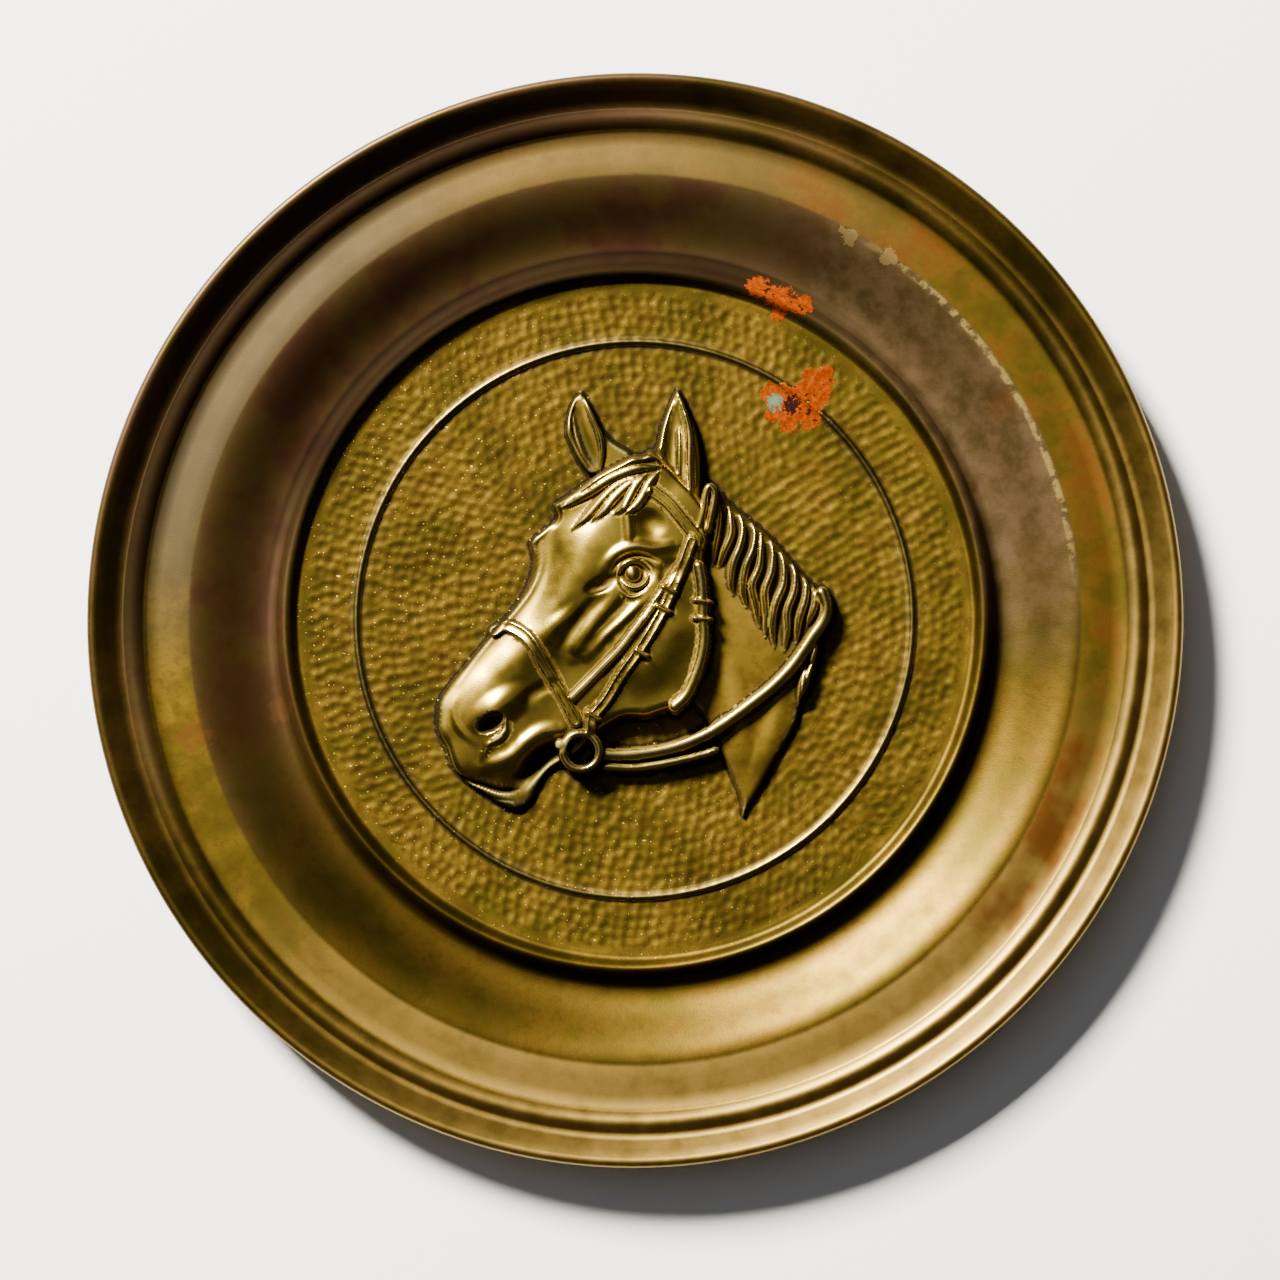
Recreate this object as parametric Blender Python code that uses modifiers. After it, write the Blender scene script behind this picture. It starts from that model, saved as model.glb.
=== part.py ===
"""Pressed brass plate with a hammered well and an embossed, bridled horse's head.

One sheet makes the whole plate: the edge is rolled under, the rim has two mouldings, and the
head is pushed up out of the well. Metres, +Z up. The origin is the centre of the flat foot
ring, on the surface that the plate lies on.
"""
import math

import bmesh
import bpy
import numpy as np

# Sheet and turned section, in metres, from the centre outwards
SHEET = 0.0009
WELL_RADIUS = 0.0940
WELL_HEIGHT = 0.0025
RING_RADIUS = 0.0771
RING_WIDTH = 0.0022
RING_RISE = 0.0010
STEP_WIDTH = 0.0060
STEP_RISE = 0.0038
FOOT_WIDTH = 0.0026
COVE_WIDTH = 0.0202
COVE_RISE = 0.0092
BRIM_WIDTH = 0.0120
BRIM_FALL = 0.0005
MOULDING_WIDTH = 0.0065
MOULDING_RISE = 0.0017
GROOVE_RISE = 0.0010
RIM_WIDTH = 0.0058
RIM_RISE = 0.0057
ROLL_RADIUS = 0.0017

# Embossed head, in metres
HEAD_HEIGHT = 0.1188
RELIEF_DEPTH = 0.0090
BACK_INSET = 0.0033
BACK_SHARE = 0.55

# Fineness of the solid
SEGMENTS = 64
STEP_STEPS = 4
COVE_STEPS = 5
MOULDING_STEPS = 4
ROLL_STEPS = 8
WELL_RINGS = 10
FRONT_CUTS = 6
BACK_CUTS = 3
CURVE_STEPS = 4
WELL_FACES = 4100
WELL_ONLY = 1000.0
SMOOTH_ANGLE = math.radians(35)

# The head is drawn from the well's centre, x to the right and y up, in units of which its
# height takes 430. Heights are shares of RELIEF_DEPTH.
DRAWN_HEIGHT = 430.0
UNIT = HEAD_HEIGHT / DRAWN_HEIGHT
EDGE_ROUND = 9.0

HEAD_OUTLINE = [
    (-39, 143), (-58, 129), (-81, 113), (-77, 101), (-93, 87), (-104, 74), (-101, 62), (-106, 35),
    (-131, -1), (-164, -41), (-195, -82), (-197, -98), (-187, -132), (-170, -163), (-130, -189),
    (-116, -193), (-102, -184), (-83, -152), (-60, -140), (-36, -118), (-11, -102), (30, -96),
    (60, -76), (73, -30), (73, 30), (78, 85), (74, 112), (50, 140), (21, 168), (-1, 164), (-13, 157)]
NECK_OUTLINE = [
    (66, 128), (85, 129), (98, 115), (124, 94), (146, 73), (169, 45), (194, 20), (200, 12),
    (189, -19), (180, -59), (168, -85), (150, -130), (130, -166), (109, -200), (106, -180),
    (89, -139), (70, -98), (40, -40), (40, 60)]
FAR_EAR_OUTLINE = [
    (-54, 227), (-63, 216), (-68, 190), (-63, 174), (-51, 151), (-39, 143), (-10, 150), (-1, 164),
    (-23, 180), (-31, 190), (-43, 215)]
NEAR_EAR_OUTLINE = [
    (43, 229), (38, 219), (29, 195), (22, 166), (27, 153), (47, 117), (64, 97), (70, 137),
    (65, 187), (57, 207), (48, 226)]

# Heights of the face at its landmarks: x, y, share of the depth
LANDMARK_REACH = 17.0
LANDMARKS = [
    # The front of the face falls towards the far side, from the forelock to the nose
    (-95, 78, 0.48), (-104, 40, 0.46), (-128, 2, 0.44), (-160, -36, 0.42), (-190, -90, 0.42),
    # The crest between the front and the side of the face
    (-33, 66, 0.88), (-60, 45, 0.86), (-88, 12, 0.80), (-113, -18, 0.75), (-155, -62, 0.65),
    # The side of the face, down to the mouth
    (-50, 8, 0.74), (-72, -22, 0.68), (-98, -55, 0.58), (-15, 15, 0.80), (-30, -25, 0.76),
    # The cheek and the jaw
    (35, -20, 0.96), (5, -45, 0.90), (-28, -68, 0.76), (60, -40, 0.84), (20, -82, 0.76), (62, 20, 0.84),
    # The brow, the eye and the temple
    (0, 62, 0.94), (17, 92, 0.68), (-10, 95, 0.84), (40, 85, 0.76), (1, 43, 0.84), (38, 52, 0.74),
    # The forehead and the poll
    (-60, 92, 0.70), (-30, 125, 0.78), (20, 140, 0.74),
    # The nostril, the lips and the chin
    (-143, -106, 0.70), (-135, -80, 0.78), (-168, -140, 0.58), (-135, -148, 0.66), (-118, -184, 0.44),
    (-150, -170, 0.46), (-88, -112, 0.58), (-52, -110, 0.60)]

# Soft ridges of the face: points, width, height
RIDGES = [
    ([(-92, 76), (-104, 30), (-122, 4), (-182, -72)], 12, 0.05),
    ([(-17, 38), (-38, 3), (-56, -34)], 17, 0.10),
    ([(22, 30), (-6, 5), (-50, -42)], 20, 0.11),
    ([(-6, 108), (0, 60)], 20, 0.08),
    ([(-103, 84), (-102, 70), (-103, 55)], 13, 0.12),
    ([(-20, 50), (7, 62), (22, 57)], 11, 0.09),
    ([(-15, 33), (-1, 19), (18, 30)], 9, 0.06),
    ([(-167, -116), (-156, -89), (-127, -77), (-122, -102), (-142, -128)], 15, 0.14),
    ([(-119, -142), (-96, -114), (-74, -112)], 12, 0.10)]

# Soft hollows: points, width, depth
HOLLOWS = [
    ([(-44, 28), (-14, 42)], 14, 0.10),
    ([(12, 34), (38, 62)], 20, 0.08),
    ([(-186, -150), (-153, -163), (-118, -156)], 8, 0.14),
    ([(-122, -146), (-84, -128), (-62, -124)], 28, 0.36),
    ([(-40, -5), (-65, -50)], 20, 0.06)]

# Eye and nostril: centre, half sizes, turn and height
EYE_CENTRE = (1, 43)
EYE_RADIUS = 8.5
EYE_RISE = 0.14
NOSTRIL_CENTRE = (-143, -106)
NOSTRIL_SIZE = (14.5, 8.0)
NOSTRIL_TURN = math.radians(35)
NOSTRIL_DEPTH = 0.38

# Locks of hair, each from its root to its tip
LOCK_WIDTH = 10.0
LOCK_RISE = 0.15
FORELOCK = [
    [(22, 160), (-13, 156), (-58, 129), (-82, 112)],
    [(20, 152), (-22, 140), (-68, 100)],
    [(-24, 136), (-36, 113), (-62, 89)],
    [(-13, 139), (-23, 115), (-38, 96)],
    [(-2, 140), (-11, 117), (-16, 105)],
    [(9, 142), (-2, 123), (-14, 103)],
    [(21, 142), (8, 119), (-2, 106)]]
MANE = [
    [(87, 114), (82, 87), (75, 44)],
    [(96, 108), (96, 68), (97, 35)],
    [(109, 102), (113, 62), (104, 28)],
    [(121, 90), (128, 52), (123, 0)],
    [(136, 74), (130, 37), (128, -5)],
    [(146, 64), (139, 17), (137, -23)],
    [(157, 54), (152, 4), (150, -36)],
    [(168, 44), (163, 8), (158, -14)],
    [(179, 32), (175, 4), (168, -14)],
    [(180, -36), (175, -62), (168, -88)]]

# Flat straps of the bridle, which lie on the face: points, width
STRAP_RISE = 0.13
STRAPS = [
    ([(22, 124), (47, 100), (71, 72)], 13),
    ([(59, 75), (39, 37), (8, -6), (-25, -46), (-60, -81)], 9),
    ([(59, 75), (40, 26), (9, -31), (-25, -82), (-41, -113)], 13),
    ([(-139, -13), (-113, -14), (-92, -40), (-57, -104)], 13)]

# Round straps and rings, which keep their own height: points, width, height of the top
CORD_DEPTH = 0.18
CORDS = [
    ([(66, 50), (70, 0), (69, -38), (54, -78), (42, -90)], 14, 0.95),
    ([(65, 86), (73, 122), (79, 128), (82, 118), (76, 86)], 9, 0.80),
    ([(-29, -137), (27, -133), (77, -115), (140, -69), (178, -22), (190, -4), (189, 24)], 15, 0.64),
    ([(-27, -149), (25, -147), (82, -133)], 11, 0.52)]
BIT_CENTRE = (-51, -134)
BIT_RADIUS = 18.0
BIT_WIDTH = 7.0
BIT_TOP = 0.76


def curve(points, closed=False):
    """Points along a smooth curve through the given ones."""
    given = np.array(points, float)
    if closed:
        padded = np.vstack([given[-1:], given, given[:2]])
    else:
        padded = np.vstack([2 * given[0] - given[1], given, 2 * given[-1] - given[-2]])
    share = np.arange(CURVE_STEPS)[:, None] / CURVE_STEPS
    stretches = []
    for before, start, end, after in zip(padded, padded[1:], padded[2:], padded[3:]):
        bend = 2 * before - 5 * start + 4 * end - after
        twist = 3 * start - before - 3 * end + after
        stretches.append(start + 0.5 * ((end - before) * share + bend * share ** 2 + twist * share ** 3))
    stretches.append(padded[-2:-1])
    return np.vstack(stretches)


def nearest(places, line):
    """Distance of each place to the line, and the share of the line's length there."""
    distance = np.full(len(places), np.inf)
    share = np.zeros(len(places))
    lengths = np.linalg.norm(np.diff(line, axis=0), axis=1)
    run = 0.0
    for start, end, length in zip(line, line[1:], lengths):
        along = (end - start) / length
        offset = places - start
        reach = np.clip(offset @ along, 0, length)
        gap = np.linalg.norm(offset - reach[:, None] * along, axis=1)
        closer = gap < distance
        distance[closer] = gap[closer]
        share[closer] = (run + reach[closer]) / lengths.sum()
        run += length
    return distance, share


def depth_inside(places, outline):
    """Distance of each place inside the closed outline, negative outside."""
    loop = curve(outline, closed=True)
    distance, _ = nearest(places, loop)
    inside = np.zeros(len(places), bool)
    x, y = places.T
    for (start_x, start_y), (end_x, end_y) in zip(loop, loop[1:]):
        if start_y == end_y:
            continue
        crossing = start_x + (end_x - start_x) * (y - start_y) / (end_y - start_y)
        inside ^= ((start_y > y) != (end_y > y)) & (x < crossing)
    return np.where(inside, distance, -distance)


def rounded_edge(depth, width):
    """Rise from 0 on an outline to 1 at the width inside it, on a quarter circle."""
    return np.sqrt(1 - (1 - np.clip(depth / width, 0, 1)) ** 2)


def stroke(places, points, width, section, tapered):
    """Height from 0 to 1 of a stroke of the given width along the points' curve."""
    distance, share = nearest(places, curve(points))
    fullness = np.sqrt(np.sin(math.pi * np.clip(share, 0.03, 0.97))) if tapered else 1.0
    across = np.clip(distance / (0.5 * width * fullness), 0, 1)
    return section(across) * fullness


def soft(across):
    """Section of a ridge in the flesh."""
    return (1 - across ** 2) ** 2


def round_top(across):
    """Section of a lock of hair or a round strap."""
    return np.sqrt(1 - across ** 2)


def flat_top(across):
    """Section of a flat strap with rounded edges."""
    return np.sqrt(1 - across ** 4)


def highest(places, strokes):
    """The highest of several heights at each place, and 0 where there is none."""
    return np.maximum.reduce([np.zeros(len(places)), *strokes])


def landmark_height(places):
    """Broad height of the face, blended from its landmarks."""
    total = np.zeros(len(places))
    weights = np.zeros(len(places))
    for x, y, height in LANDMARKS:
        gap = (places[:, 0] - x) ** 2 + (places[:, 1] - y) ** 2
        weight = np.exp(-gap / (2 * LANDMARK_REACH ** 2)) + 1e-9
        total += weight * height
        weights += weight
    return total / weights


def face(places):
    """The head without its ears, from the poll to the chin."""
    depth = depth_inside(places, HEAD_OUTLINE)
    ridges = highest(places, [rise * stroke(places, line, width, soft, True) for line, width, rise in RIDGES])
    hollows = highest(places, [fall * stroke(places, line, width, soft, True) for line, width, fall in HOLLOWS])
    height = landmark_height(places) + ridges - hollows

    eye_gap = np.linalg.norm(places - EYE_CENTRE, axis=1) / EYE_RADIUS
    height += EYE_RISE * round_top(np.clip(eye_gap, 0, 1))
    turn = np.array([[math.cos(NOSTRIL_TURN), -math.sin(NOSTRIL_TURN)],
                     [math.sin(NOSTRIL_TURN), math.cos(NOSTRIL_TURN)]])
    nostril_gap = np.linalg.norm((places - NOSTRIL_CENTRE) @ turn / NOSTRIL_SIZE, axis=1)
    height -= NOSTRIL_DEPTH * round_top(np.clip(nostril_gap, 0, 1))

    locks = highest(places, [LOCK_RISE * stroke(places, lock, LOCK_WIDTH, round_top, True) for lock in FORELOCK])
    return (height + locks) * rounded_edge(depth, EDGE_ROUND)


def neck(places):
    """The low neck, rising from its front tip to the crest, with the mane."""
    depth = depth_inside(places, NECK_OUTLINE)
    rise = 0.20 + 0.12 * np.clip((places[:, 1] + 200) / 260, 0, 1)
    locks = highest(places, [LOCK_RISE * stroke(places, lock, LOCK_WIDTH, round_top, True) for lock in MANE])
    return (rise + locks) * rounded_edge(depth, EDGE_ROUND)


def ears(places):
    """Both ears, each a leaf with a hollow cup and a raised rim."""
    far = rounded_edge(depth_inside(places, FAR_EAR_OUTLINE), EDGE_ROUND)
    far_cup = stroke(places, [(-57, 212), (-55, 190), (-36, 152)], 22, soft, True)
    far_rim = stroke(places, [(-50, 222), (-34, 185), (-33, 146)], 7, round_top, True)
    near = rounded_edge(depth_inside(places, NEAR_EAR_OUTLINE), EDGE_ROUND)
    near_cup = stroke(places, [(43, 215), (38, 161), (52, 110)], 24, soft, True)
    near_rim = stroke(places, [(44, 226), (57, 170), (65, 97)], 8, round_top, True)
    near_rise = 0.44 + 0.20 * np.clip((190 - places[:, 1]) / 90, 0, 1)
    far_height = (0.34 - 0.12 * far_cup + 0.10 * far_rim) * far
    near_height = (near_rise - 0.14 * near_cup + 0.10 * near_rim) * near
    return np.maximum(far_height, near_height)


def bridle(places, height):
    """The height with the bridle, reins and bit ring laid over it."""
    straps = highest(places, [STRAP_RISE * stroke(places, line, width, flat_top, False) for line, width in STRAPS])
    height = height + straps
    for line, width, top in CORDS:
        cord = stroke(places, line, width, round_top, False)
        height = np.where(cord > 0, np.maximum(height, top - CORD_DEPTH * (1 - cord)), height)
    across = np.abs(np.linalg.norm(places - BIT_CENTRE, axis=1) - BIT_RADIUS) / (0.5 * BIT_WIDTH)
    ring = round_top(np.clip(across, 0, 1))
    return np.where(ring > 0, np.maximum(height, BIT_TOP - CORD_DEPTH * (1 - ring)), height)


def relief_front(places):
    """Height of the embossed head over the well, in metres, at places in metres."""
    drawn = places / UNIT
    bare = np.maximum.reduce([face(drawn), neck(drawn), ears(drawn)])
    return RELIEF_DEPTH * np.maximum(bridle(drawn, bare), 0)


def relief_back(places):
    """Height of the plainer hollow that the press leaves behind the head and neck."""
    drawn = places / UNIT
    inset = BACK_INSET / UNIT
    head = landmark_height(drawn) * rounded_edge(depth_inside(drawn, HEAD_OUTLINE) - inset, 2 * EDGE_ROUND)
    neck_depth = depth_inside(drawn, NECK_OUTLINE) - inset
    low_neck = 0.20 * rounded_edge(neck_depth, 2 * EDGE_ROUND)
    return RELIEF_DEPTH * BACK_SHARE * np.maximum(head, low_neck)


def bead(start, end, rise, steps):
    """Points of a rounded bead from one foot to the other, without its last foot."""
    points = []
    for step in range(steps):
        share = step / steps
        radius = start[0] + share * (end[0] - start[0])
        height = start[1] + share * (end[1] - start[1]) + rise * math.sin(math.pi * share)
        points.append((radius, height))
    return points


def cove(start, end, steps):
    """Points of the hollow wall between the foot and the brim, without its last point."""
    points = []
    for step in range(steps):
        share = step / steps
        eased = 0.25 * share + 0.75 * 0.5 * (1 - math.cos(math.pi * share))
        points.append((start[0] + share * (end[0] - start[0]), start[1] + eased * (end[1] - start[1])))
    return points


def front_section():
    """The sheet's upper side from the ring in the well to the top of the rim, as (radius, height)."""
    ring_in = (RING_RADIUS - RING_WIDTH / 2, WELL_HEIGHT)
    ring_out = (RING_RADIUS + RING_WIDTH / 2, WELL_HEIGHT)
    well_edge = (WELL_RADIUS, WELL_HEIGHT)
    foot_in = (WELL_RADIUS + STEP_WIDTH, SHEET)
    foot_out = (foot_in[0] + FOOT_WIDTH, SHEET)
    brim_in = (foot_out[0] + COVE_WIDTH, SHEET + COVE_RISE)
    brim_out = (brim_in[0] + BRIM_WIDTH, brim_in[1] - BRIM_FALL)
    groove = (brim_out[0] + MOULDING_WIDTH, brim_out[1] + GROOVE_RISE)
    rim = (groove[0] + RIM_WIDTH, groove[1] + RIM_RISE)
    section = bead(ring_in, ring_out, RING_RISE, 2) + [ring_out]
    section += bead(well_edge, foot_in, STEP_RISE, STEP_STEPS) + [foot_in]
    section += cove(foot_out, brim_in, COVE_STEPS) + [brim_in]
    section += bead(brim_out, groove, MOULDING_RISE, MOULDING_STEPS) + [groove, rim]
    return section


def offset_below(section):
    """The section moved down by the sheet's thickness, square to each stretch."""
    line = np.array(section)
    along = np.diff(line, axis=0)
    along /= np.linalg.norm(along, axis=1)[:, None]
    below = np.column_stack([along[:, 1], -along[:, 0]])
    before = np.vstack([[0.0, -1.0], below])
    after = np.vstack([below, below[-1:]])
    middle = before + after
    scale = 2 / np.sum(middle * middle, axis=1)
    return (line + SHEET * middle * scale[:, None]).tolist()


def rolled_edge(rim):
    """The edge rolled under, from the rim's inner shoulder round to its underside."""
    shoulder = math.radians(135)
    sweep = math.radians(300)
    centre_x = rim[0] - ROLL_RADIUS * math.cos(shoulder)
    centre_z = rim[1] - ROLL_RADIUS * math.sin(shoulder)
    points = []
    for step in range(1, ROLL_STEPS + 1):
        angle = shoulder - sweep * step / ROLL_STEPS
        points.append((centre_x + ROLL_RADIUS * math.cos(angle), centre_z + ROLL_RADIUS * math.sin(angle)))
    return points


def plate_section():
    """The closed section, from the axis over the front, round the edge and back underneath."""
    front = front_section()
    back = offset_below(front)[:-1]
    flat_front = [(front[0][0] * ring / WELL_RINGS, WELL_HEIGHT) for ring in range(WELL_RINGS)]
    flat_back = [(back[0][0] * ring / WELL_RINGS, WELL_HEIGHT - SHEET) for ring in range(WELL_RINGS)]
    return flat_front + front + rolled_edge(front[-1]) + back[::-1] + flat_back[::-1]


def turned_plate(collection):
    """The plate turned from its section, as a mesh, without the head."""
    section = plate_section()
    profile = bpy.data.meshes.new("plate_profile")
    points = [(radius, 0.0, height) for radius, height in section]
    profile.from_pydata(points, [(index, index + 1) for index in range(len(points) - 1)], [])
    turning = bpy.data.objects.new("plate_turning", profile)
    collection.objects.link(turning)
    screw = turning.modifiers.new("Turn", "SCREW")
    screw.steps = SEGMENTS
    screw.render_steps = SEGMENTS
    screw.use_merge_vertices = True
    screw.merge_threshold = 0.00001
    depsgraph = bpy.context.evaluated_depsgraph_get()
    mesh = bpy.data.meshes.new_from_object(turning.evaluated_get(depsgraph))
    bpy.data.objects.remove(turning)
    return mesh


def flat_vertices(shape, height, limit):
    """The vertices on the flat of the well at this height, inside the limit radius."""
    close = SHEET / 100
    return [v for v in shape.verts if abs(v.co.z - height) < close and math.hypot(v.co.x, v.co.y) < limit]


def emboss(shape, height, limit, cuts, relief):
    """Divide one side of the well, raise it by the relief and mark what was raised."""
    inner = set(flat_vertices(shape, height, limit))
    spokes = [edge for edge in shape.edges if edge.verts[0] in inner or edge.verts[1] in inner]
    bmesh.ops.subdivide_edges(shape, edges=spokes, cuts=cuts, use_grid_fill=True)
    layer = shape.verts.layers.deform.verify()
    raised = flat_vertices(shape, height, limit)
    rises = relief(np.array([(v.co.x, v.co.y) for v in raised]))
    for vertex, rise in zip(raised, rises):
        vertex.co.z += float(rise)
        vertex[layer][0] = 1.0


def press_head(mesh):
    """Press the head into the turned plate's well and return the share of its faces to keep."""
    limit = RING_RADIUS - RING_WIDTH
    shape = bmesh.new()
    shape.from_mesh(mesh)
    emboss(shape, WELL_HEIGHT, limit, FRONT_CUTS, relief_front)
    emboss(shape, WELL_HEIGHT - SHEET, limit, BACK_CUTS, relief_back)
    bmesh.ops.triangulate(shape, faces=shape.faces)
    layer = shape.verts.layers.deform.verify()
    well_faces = sum(1 for face_ in shape.faces if any(v[layer].get(0) for v in face_.verts))
    turned_faces = len(shape.faces) - well_faces
    shape.to_mesh(mesh)
    shape.free()
    return (WELL_FACES + turned_faces) / (well_faces + turned_faces)


def brass_material():
    """Aged olive-gold brass."""
    material = bpy.data.materials.new("aged_brass")
    material.use_nodes = True
    shader = material.node_tree.nodes["Principled BSDF"]
    shader.inputs["Base Color"].default_value = (0.254, 0.174, 0.014, 1.0)
    shader.inputs["Metallic"].default_value = 1.0
    shader.inputs["Roughness"].default_value = 0.35
    return material


def build_plate(collection):
    """The finished plate."""
    mesh = turned_plate(collection)
    mesh.name = "brass_plate"
    plate = bpy.data.objects.new("brass_plate", mesh)
    collection.objects.link(plate)
    group = plate.vertex_groups.new(name="well")
    thin = plate.modifiers.new("Thin the well", "DECIMATE")
    thin.ratio = press_head(mesh)
    thin.vertex_group = group.name
    thin.vertex_group_factor = WELL_ONLY
    mesh.shade_smooth()
    mesh.set_sharp_from_angle(angle=SMOOTH_ANGLE)
    mesh.materials.append(brass_material())
    return plate


def main():
    """Clear the scene and build the plate."""
    for item in list(bpy.data.objects):
        bpy.data.objects.remove(item)
    collection = bpy.data.collections.new("hammered_brass_plate")
    bpy.context.scene.collection.children.link(collection)
    build_plate(collection)


main()
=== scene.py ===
"""Looks of the hammered brass plate: one pressed sheet with its dents, its horse's head and its patina."""
import logging
import math
from collections.abc import Sequence
from dataclasses import dataclass, field
from enum import Enum

import bmesh
import bpy
import numpy as np
from mathutils import Matrix, Vector


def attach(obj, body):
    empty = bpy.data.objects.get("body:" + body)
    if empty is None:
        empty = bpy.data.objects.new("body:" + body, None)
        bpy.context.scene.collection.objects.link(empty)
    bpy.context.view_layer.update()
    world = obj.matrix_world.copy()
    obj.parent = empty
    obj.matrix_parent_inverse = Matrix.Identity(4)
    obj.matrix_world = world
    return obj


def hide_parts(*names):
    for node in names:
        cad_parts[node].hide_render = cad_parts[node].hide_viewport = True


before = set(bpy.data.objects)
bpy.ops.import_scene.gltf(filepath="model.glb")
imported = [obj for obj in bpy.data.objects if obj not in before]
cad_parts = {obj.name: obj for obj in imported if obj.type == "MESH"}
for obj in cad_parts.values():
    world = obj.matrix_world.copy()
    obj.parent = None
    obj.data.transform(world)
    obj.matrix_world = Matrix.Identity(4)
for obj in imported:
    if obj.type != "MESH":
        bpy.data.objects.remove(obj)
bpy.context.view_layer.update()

LOG = logging.getLogger("plate")
MM = 0.001
Point = tuple[float, float]
Line = Sequence[Point]
Spot = tuple[float, float, float]
Socket = bpy.types.NodeSocket


def smooth_line(points: Line, closed: bool = False, steps: int = 6) -> np.ndarray:
    """Points along a smooth curve through the given ones.

    Args:
        points: The points that the curve passes through.
        closed: Whether the curve returns to its start.
        steps: How many points each stretch is divided into.

    Returns:
        The curve's points, one a row.
    """
    given = np.array(points, float)
    if closed:
        padded = np.vstack([given[-1:], given, given[:2]])
    else:
        padded = np.vstack([2 * given[0] - given[1], given, 2 * given[-1] - given[-2]])
    share = np.arange(steps)[:, None] / steps
    stretches = []
    for before, start, end, after in zip(padded, padded[1:], padded[2:], padded[3:]):
        bend = 2 * before - 5 * start + 4 * end - after
        twist = 3 * start - before - 3 * end + after
        stretches.append(start + 0.5 * ((end - before) * share + bend * share ** 2 + twist * share ** 3))
    stretches.append(padded[-2:-1])
    return np.vstack(stretches)


def nearest(places: np.ndarray, line: np.ndarray) -> tuple[np.ndarray, np.ndarray]:
    """Distance of each place to a line.

    Args:
        places: The places, one a row.
        line: The line's points, one a row.

    Returns:
        The distances, and the share of the line's length at which each is met.
    """
    distance = np.full(len(places), np.inf)
    share = np.zeros(len(places))
    lengths = np.linalg.norm(np.diff(line, axis=0), axis=1)
    run = 0.0
    for start, end, length in zip(line, line[1:], lengths):
        along = (end - start) / length
        offset = places - start
        reach = np.clip(offset @ along, 0, length)
        gap = np.hypot(*(offset - reach[:, None] * along).T)
        closer = gap < distance
        distance[closer] = gap[closer]
        share[closer] = (run + reach[closer]) / lengths.sum()
        run += length
    return distance, share


def oval_gap(places: np.ndarray, centre: Point, size: Point, turn: float) -> np.ndarray:
    """How far out each place lies in an oval, 1 on its edge.

    Args:
        places: The places, one a row.
        centre: The oval's centre.
        size: Its half length and half width.
        turn: Its turn in degrees.

    Returns:
        The share of the way from the centre to the edge.
    """
    cosine, sine = math.cos(math.radians(turn)), math.sin(math.radians(turn))
    turned = (places - centre) @ np.array([[cosine, -sine], [sine, cosine]])
    return np.linalg.norm(turned / size, axis=1)


def rounded_edge(depth: np.ndarray, width: float) -> np.ndarray:
    """Rise from 0 on an outline to 1 at the width inside it, on a quarter circle."""
    return np.sqrt(1 - (1 - np.clip(depth / width, 0, 1)) ** 2)


class Section(Enum):
    """Cross-section of a stroke of the relief."""

    SOFT = "a fold of flesh"
    ROUND = "a lock of hair or a cord"
    FLAT = "a strap with rounded edges"
    SEWN = "a strap with a raised edge along each side"

    def rise(self, across: np.ndarray) -> np.ndarray:
        """Height of the section.

        Args:
            across: Distance from the stroke's middle, from 0 to 1 at its edge.

        Returns:
            The height, from 0 to 1.
        """
        if self is Section.SOFT:
            return (1 - across ** 2) ** 2
        if self is Section.ROUND:
            return np.sqrt(1 - across ** 2)
        flat = np.sqrt(1 - across ** 6)
        if self is Section.FLAT:
            return flat
        return flat * (0.72 + 0.28 * np.exp(-((across - 0.68) / 0.17) ** 2))


@dataclass(frozen=True)
class Stroke:
    """One drawn line of the relief, in drawing units."""

    points: Line
    width: float
    rise: float
    section: Section = Section.SOFT
    tapered: bool = True

    def height(self, places: np.ndarray) -> np.ndarray:
        """Height of the stroke.

        Args:
            places: Places in drawing units, one a row.

        Returns:
            The height at each place, 0 away from the stroke.
        """
        line = smooth_line(self.points)
        low = line.min(axis=0) - self.width
        high = line.max(axis=0) + self.width
        near = np.all((places > low) & (places < high), axis=1)
        height = np.zeros(len(places))
        if not near.any():
            return height
        distance, share = nearest(places[near], line)
        fullness = np.sqrt(np.sin(math.pi * np.clip(share, 0.02, 0.98))) if self.tapered else 1.0
        narrowing = 1.0 if self.section is Section.SOFT else fullness
        across = np.clip(distance / (0.5 * self.width * narrowing), 0, 1)
        height[near] = self.rise * self.section.rise(across) * fullness
        return height


@dataclass(frozen=True)
class Mass:
    """A part of the figure with an outline of its own, in drawing units."""

    outline: Line
    edge: float

    def inside(self, places: np.ndarray) -> np.ndarray:
        """Distance of each place inside the outline, negative outside.

        Args:
            places: Places in drawing units, one a row.

        Returns:
            The distances.
        """
        loop = smooth_line(self.outline, closed=True)
        distance, _ = nearest(places, loop)
        inside = np.zeros(len(places), bool)
        x, y = places.T
        for (start_x, start_y), (end_x, end_y) in zip(loop, loop[1:]):
            if start_y == end_y:
                continue
            crossing = start_x + (end_x - start_x) * (y - start_y) / (end_y - start_y)
            inside ^= ((start_y > y) != (end_y > y)) & (x < crossing)
        return np.where(inside, distance, -distance)

    def fill(self, places: np.ndarray) -> np.ndarray:
        """How full the mass is at each place, from 0 outside to 1 inside its rounded edge."""
        return rounded_edge(self.inside(places), self.edge)


def highest(places: np.ndarray, strokes: Sequence[Stroke]) -> np.ndarray:
    """The highest of several strokes at each place, and 0 where there is none.

    Args:
        places: Places in drawing units, one a row.
        strokes: The strokes.

    Returns:
        The height at each place.
    """
    height = np.zeros(len(places))
    for stroke in strokes:
        np.maximum(height, stroke.height(places), out=height)
    return height


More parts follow.
